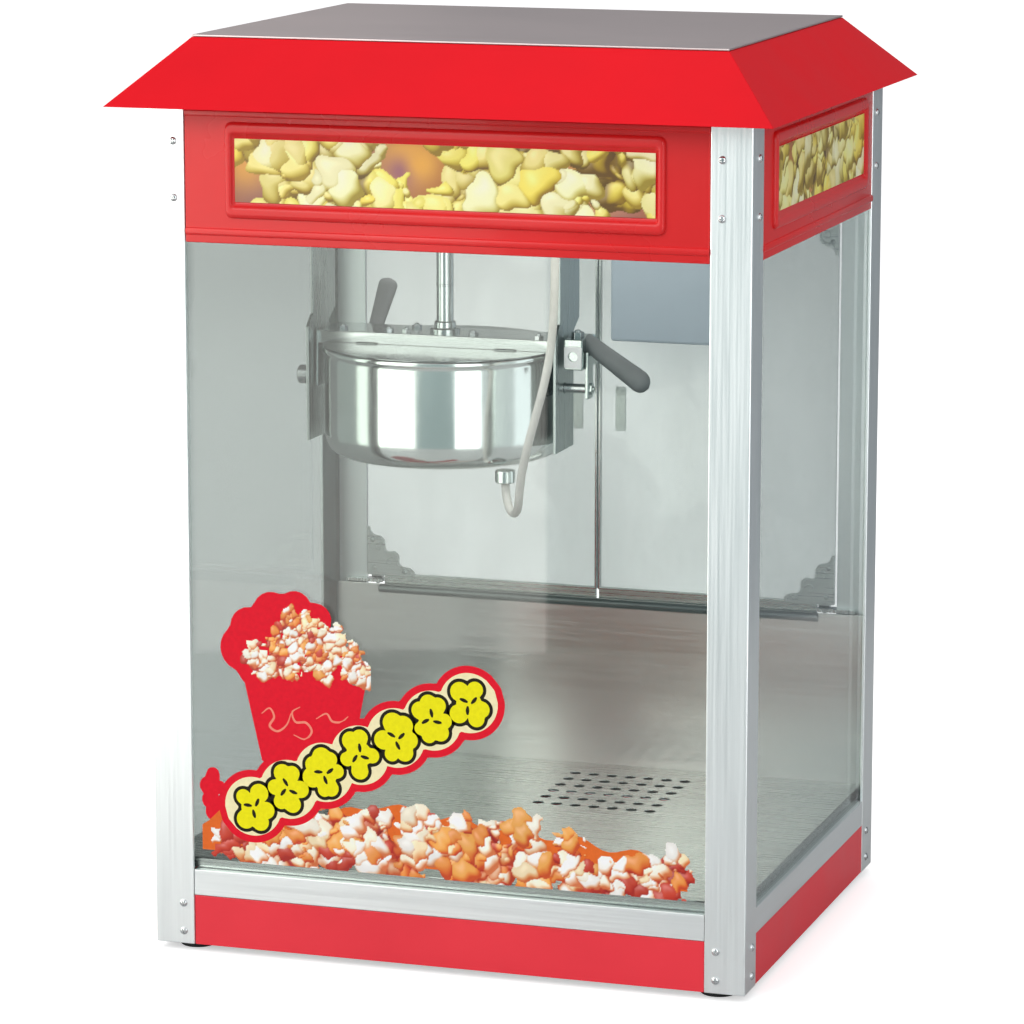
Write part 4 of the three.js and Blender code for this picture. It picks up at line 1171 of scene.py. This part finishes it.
def grip_size(thin, thick):
    """The radius along a grip that swells towards its round tip."""
    def size(t):
        body = thin + (thick - thin) * min(t / 0.82, 1)
        tip = math.sqrt(max(1 - ((t - 0.86) / 0.14) ** 2, 0.02)) if t > 0.86 else 1.0
        return body * tip
    return size


def between(a, b, steps=40):
    a, b = Vector(a), Vector(b)
    return [a.lerp(b, k / steps) for k in range(steps + 1)]


lifter = [block("plate", (-169, 39, 491.3), (-146, 51, 494.1), 0.6, 3),
          block("hasp", (-150, 36, 491.2), (-136, 54, 493.0), 0.5, 2),
          hexagon((-164, 45, 494.1), "+Z", 6.0, 1.8, 12)]
finish_piece(joined("lid_lifter_bracket", lifter), SATIN_STEEL, "lid_rear")
lifter_grip = sweep("lid_lifter_grip", between((-151.6, 44.4, 492.8), (-141.8, 56.2, 536.0)),
                    grip_size(6.4, 8.6), 32, 0.6, Vector((1, 0, 0)))
finish_piece(lifter_grip, GRIP_PLASTIC, "lid_rear", ["lid_lifter"])

handle = block("tilt_handle_block", (42.6, -28, 477), (59, 10, 503), 1.2, 3)
finish_piece(handle, SATIN_STEEL, "kettle")
handle_grip = sweep("tilt_grip", between((57.2, -13.2, 500.4), (118.4, -34.0, 466.5)),
                    grip_size(7.2, 9.4), 32, 0.6, Vector((0.5, 0, 0.8)))
finish_piece(handle_grip, GRIP_PLASTIC, "kettle", ["tilt_handle"])
arm = block("arm", (59.5, -22, 452), (62.4, -8, 492), 0.8, 3)
finish_piece(joined("tilt_handle_arm", [arm, hexagon((61.8, TILT_Y, TILT_Z), "+X", 9.0, 2.4, 15)]),
             SATIN_STEEL, "kettle")
bolt = joined("tilt_handle_bolt", [hexagon((50, -12, 502.6), "+Z", 9.5, 5.0, 15)])
finish_piece(bolt, SCREW_STEEL, "kettle")
tag_outlines = [rounded_outline((43.5, 479), (58.5, 497), 1.2, 3), circle(51, 488.6, 4.2, 28)]
tag = cut_sheet("tilt_handle_plate", tag_outlines, -30.2, -28.1, "XZ", 0.3)
finish_piece(tag, WHITE_PLATE, "kettle")

blade = [lathe("shaft", [(0, 409), (4, 409), (4, 588.6), (3.6, 589), (0, 589)], (KETTLE_X, 0, 0), "Z", 32),
         block("tongue", (KETTLE_X - 1.6, -3.8, 588), (KETTLE_X + 1.6, 3.8, 596), 0.4),
         block("blade", (KETTLE_X - 84, -1.5, 410.5), (KETTLE_X + 84, 1.5, 420), 0.5),
         block("blade", (KETTLE_X - 2, -60, 410.5), (KETTLE_X + 2, 60, 417), 0.5),
         lathe("hub", [(0, 410), (9, 410), (9, 424), (8, 425), (0, 425)], (KETTLE_X, 0, 0), "Z", 32)]
finish_piece(joined("stirrer_blades", blade), STEEL_UP, "stirrer", ["stirrer"])

# ---- gland of the heater lead -------------------------------------------------------------------------

gland = lathe("lead_gland_foil", [(4.3, -9), (7, -9), (8, -8.2), (8, -5.4), (7.5, -5), (8, -4.6), (8, -0.8),
                                  (10.5, -0.8), (10.5, -0.4), (6, -0.4), (6, 8), (4.3, 8)],
              (47, -66, 600), "Z", 48)
finish_piece(gland, SCREW_STEEL, "cabinet", ["lead_gland"])

# ---- top compartment, rear header, feet ---------------------------------------------------------------

bulb_low, bulb_high = box_mm("lamp_bulb")
BULB_R = float(bulb_high[2] - bulb_low[2]) / 2
BULB_LONG = 59
bulb_points = ((0, 0), (12.6, 0.6), (13, 6), (13.4, 12), (18.5, 22), (BULB_R - 0.2, 36), (22, 46), (14, 55.6),
               (6, 58.4), (0, BULB_LONG))
bulb_line = smooth_path([(across, along, 0) for across, along in bulb_points], 6)
bulb = lathe("lamp_bulb_blown",
             [(max(min(p.x, BULB_R - 0.1), 0), min(max(p.y, 0), BULB_LONG)) for p in bulb_line],
             (92.4, -70, 634), "X", 48)
finish_piece(bulb, BULB_GLASS, "cabinet", ["lamp_bulb"])
finish_piece(lathe("lamp_cap", [(0, -1), (12.2, -1), (12.6, 0), (12.6, 6), (12, 6.4), (0, 6.4)],
                   (92.6, -70, 634), "X", 40), BRASS, "cabinet")

for end, ey in (("front", -1), ("rear", 1)):
    for side, sx in (("left", -1), ("right", 1)):
        foot = lathe(f"foot_round_{end}_{side}",
                     [(0, 0), (13, 0), (14.6, 0.4), (15.7, 1.5), (16, 2.6), (15.4, 5.4), (15, 6), (0, 6)],
                     (sx * 227, ey * 190, 0), "Z", 48)
        finish_piece(foot, RUBBER, "cabinet", [f"foot_{end}_{side}"])

SWITCH_Z = 652
for name, x in (("heat", -120), ("stir", -80), ("light", -40)):
    around = rounded_outline((x - 13, SWITCH_Z - 18.4), (x + 13, SWITCH_Z + 18.4), 2, 4)
    opening = rounded_outline((x - 10.4, SWITCH_Z - 15.4), (x + 10.4, SWITCH_Z + 15.4), 1, 3)
    bezel = cut_sheet(f"{name}_switch_bezel", [around, opening], 213.4, 215.2, "XZ", 0.4)
    finish_piece(bezel, BLACK_PLASTIC, "cabinet")
screws("inlet_screws", [((120 + dx, 217, 640), "+Y") for dx in (-15.2, 15.2)], radius=1.9)
screws("rear_header_screws", [((x, 213.6, 690), "+Y") for x in (-205, -60, 60, 205)], radius=2.6)

# ---- floor, air and lights ----------------------------------------------------------------------------


def make_floor():
    """A wide pale floor."""
    paint = Paint("floor", (0.9, 0.9, 0.9), 0.6, Specular_IOR_Level=0.2, Emission_Color=(1, 1, 1, 1))
    cloud = paint.noise(1.5, (1, 1, 1), 3)
    seen = paint.add("ShaderNodeLightPath").outputs["Is Camera Ray"]
    # the floor shows pale, and throws less light up than it shows
    mix = paint.add("ShaderNodeMix", data_type="RGBA")
    paint.link(seen, mix.inputs["Factor"])
    mix.inputs["A"].default_value = (0.44, 0.45, 0.45, 1)
    paint.link(paint.ramp(cloud, [(0.3, (0.88, 0.88, 0.88)), (0.7, (0.90, 0.90, 0.90))]), mix.inputs["B"])
    paint.color(mix.outputs["Result"])
    paint.link(paint.spread(seen, 0.0, 0.50, 0.0, 1.0), paint.shader.inputs["Emission Strength"])
    reach = 30000.0
    corners = [(-reach, -reach, 0), (reach, -reach, 0), (reach, reach, 0), (-reach, reach, 0)]
    floor = new_object("floor", corners, [(0, 1, 2, 3)])
    floor.data.materials.append(paint.material)


def make_air():
    """A pale studio whose brightness changes with direction, so that bright metal has something to show."""
    world = bpy.data.worlds.new("studio")
    bpy.context.scene.world = world
    world.use_nodes = True
    tree = world.node_tree
    back = tree.nodes["Background"]
    space = tree.nodes.new("ShaderNodeTexCoord")
    split = tree.nodes.new("ShaderNodeSeparateXYZ")
    tree.links.new(space.outputs["Generated"], split.inputs[0])
    turn = tree.nodes.new("ShaderNodeMath")
    turn.operation = "ARCTAN2"
    tree.links.new(split.outputs["X"], turn.inputs[0])
    tree.links.new(split.outputs["Y"], turn.inputs[1])
    share = tree.nodes.new("ShaderNodeMapRange")
    share.inputs["From Min"].default_value = -math.pi
    share.inputs["From Max"].default_value = math.pi
    tree.links.new(turn.outputs[0], share.inputs["Value"])
    # 0 and 1 are the customer's side (-Y), 0.25 is -X, 0.5 is +Y and 0.75 is +X
    bands = tree.nodes.new("ShaderNodeValToRGB")
    stops = [(0.0, 1.25), (0.12, 1.3), (0.25, 1.0), (0.36, 0.6), (0.5, 0.38), (0.62, 0.38), (0.75, 0.62),
             (0.88, 1.0), (1.0, 1.25)]
    while len(bands.color_ramp.elements) < len(stops):
        bands.color_ramp.elements.new(0.5)
    for end, (at, level) in zip(bands.color_ramp.elements, stops):
        end.position = at
        end.color = (level, level, level * 1.01, 1)
    tree.links.new(share.outputs["Result"], bands.inputs["Fac"])
    tree.links.new(bands.outputs["Color"], back.inputs["Color"])
    back.inputs["Strength"].default_value = 0.85


# each card's name, first and last bearing from the customer's side in degrees, and colour
CARD_AWAY, CARD_LOW, CARD_HIGH = 1400, -200, 1500
CARDS = (("grey_left", -104, -71, (0.62, 0.68, 0.66)), ("cream_left", -71, -42, (3.6, 3.7, 3.4)),
         ("bright_left", -42, -9, (2.5, 2.5, 2.36)), ("blue_middle", -9, 28, (0.25, 0.35, 0.36)),
         ("white_right", 28, 52, (2.7, 2.75, 2.75)), ("grey_right", 52, 86, (0.60, 0.66, 0.66)),
         ("light_right", 86, 112, (1.15, 1.22, 1.24)), ("dark_right", 112, 200, (0.20, 0.225, 0.24)))


def make_cards():
    """Studio cards round the machine, seen only by what is polished."""
    for name, start, stop, color in CARDS:
        material = bpy.data.materials.new(name)
        material.use_nodes = True
        tree = material.node_tree
        tree.nodes.remove(tree.nodes["Principled BSDF"])
        glow = tree.nodes.new("ShaderNodeEmission")
        glow.inputs["Color"].default_value = (*color, 1)
        tree.links.new(glow.outputs[0], tree.nodes["Material Output"].inputs["Surface"])
        verts = []
        for z in (CARD_LOW, CARD_HIGH):
            for k in range(9):
                turn = math.radians(start + (stop - start) * k / 8)
                verts.append((at_kettle(CARD_AWAY * math.sin(turn)), -CARD_AWAY * math.cos(turn), z))
        card = new_object(f"card_{name}", verts, [(k, k + 1, k + 10, k + 9) for k in range(8)])
        card.data.materials.append(material)
        card.visible_camera = False
        card.visible_diffuse = False
        card.visible_shadow = False
        card.visible_transmission = False


def area_light(name, place_at, aim, size, power, color=(1, 1, 1), mirrored=True):
    """A soft panel of light. One that isn't mirrored lights the metal but doesn't show in it."""
    data = bpy.data.lights.new(name, "AREA")
    data.shape = "RECTANGLE"
    data.size, data.size_y = size
    data.energy = power
    data.color = color
    light = bpy.data.objects.new(name, data)
    bpy.context.collection.objects.link(light)
    light.location = place_at
    light.rotation_euler = (Vector(aim) - Vector(place_at)).to_track_quat("-Z", "Y").to_euler()
    light.visible_glossy = mirrored


make_floor()
make_air()
make_cards()
area_light("key", (-1.4, -3.2, 2.4), (0, 0, 0.35), (1.6, 1.6), 36)
area_light("top", (0.0, 0.2, 3.0), (0, 0, 0.4), (2.2, 2.2), 14)
area_light("rear", (-1.0, 3.0, 1.8), (0, 0, 0.3), (2.4, 1.6), 16, mirrored=False)
area_light("side", (3.2, 0.2, 1.6), (0, 0, 0.3), (1.8, 1.6), 14, mirrored=False)
area_light("lamp", (0.0, -0.02, 0.592), (0, -0.02, 0), (0.36, 0.30), 0.7, (1, 0.97, 0.92), mirrored=False)
bpy.context.scene.view_settings.view_transform = "Standard"
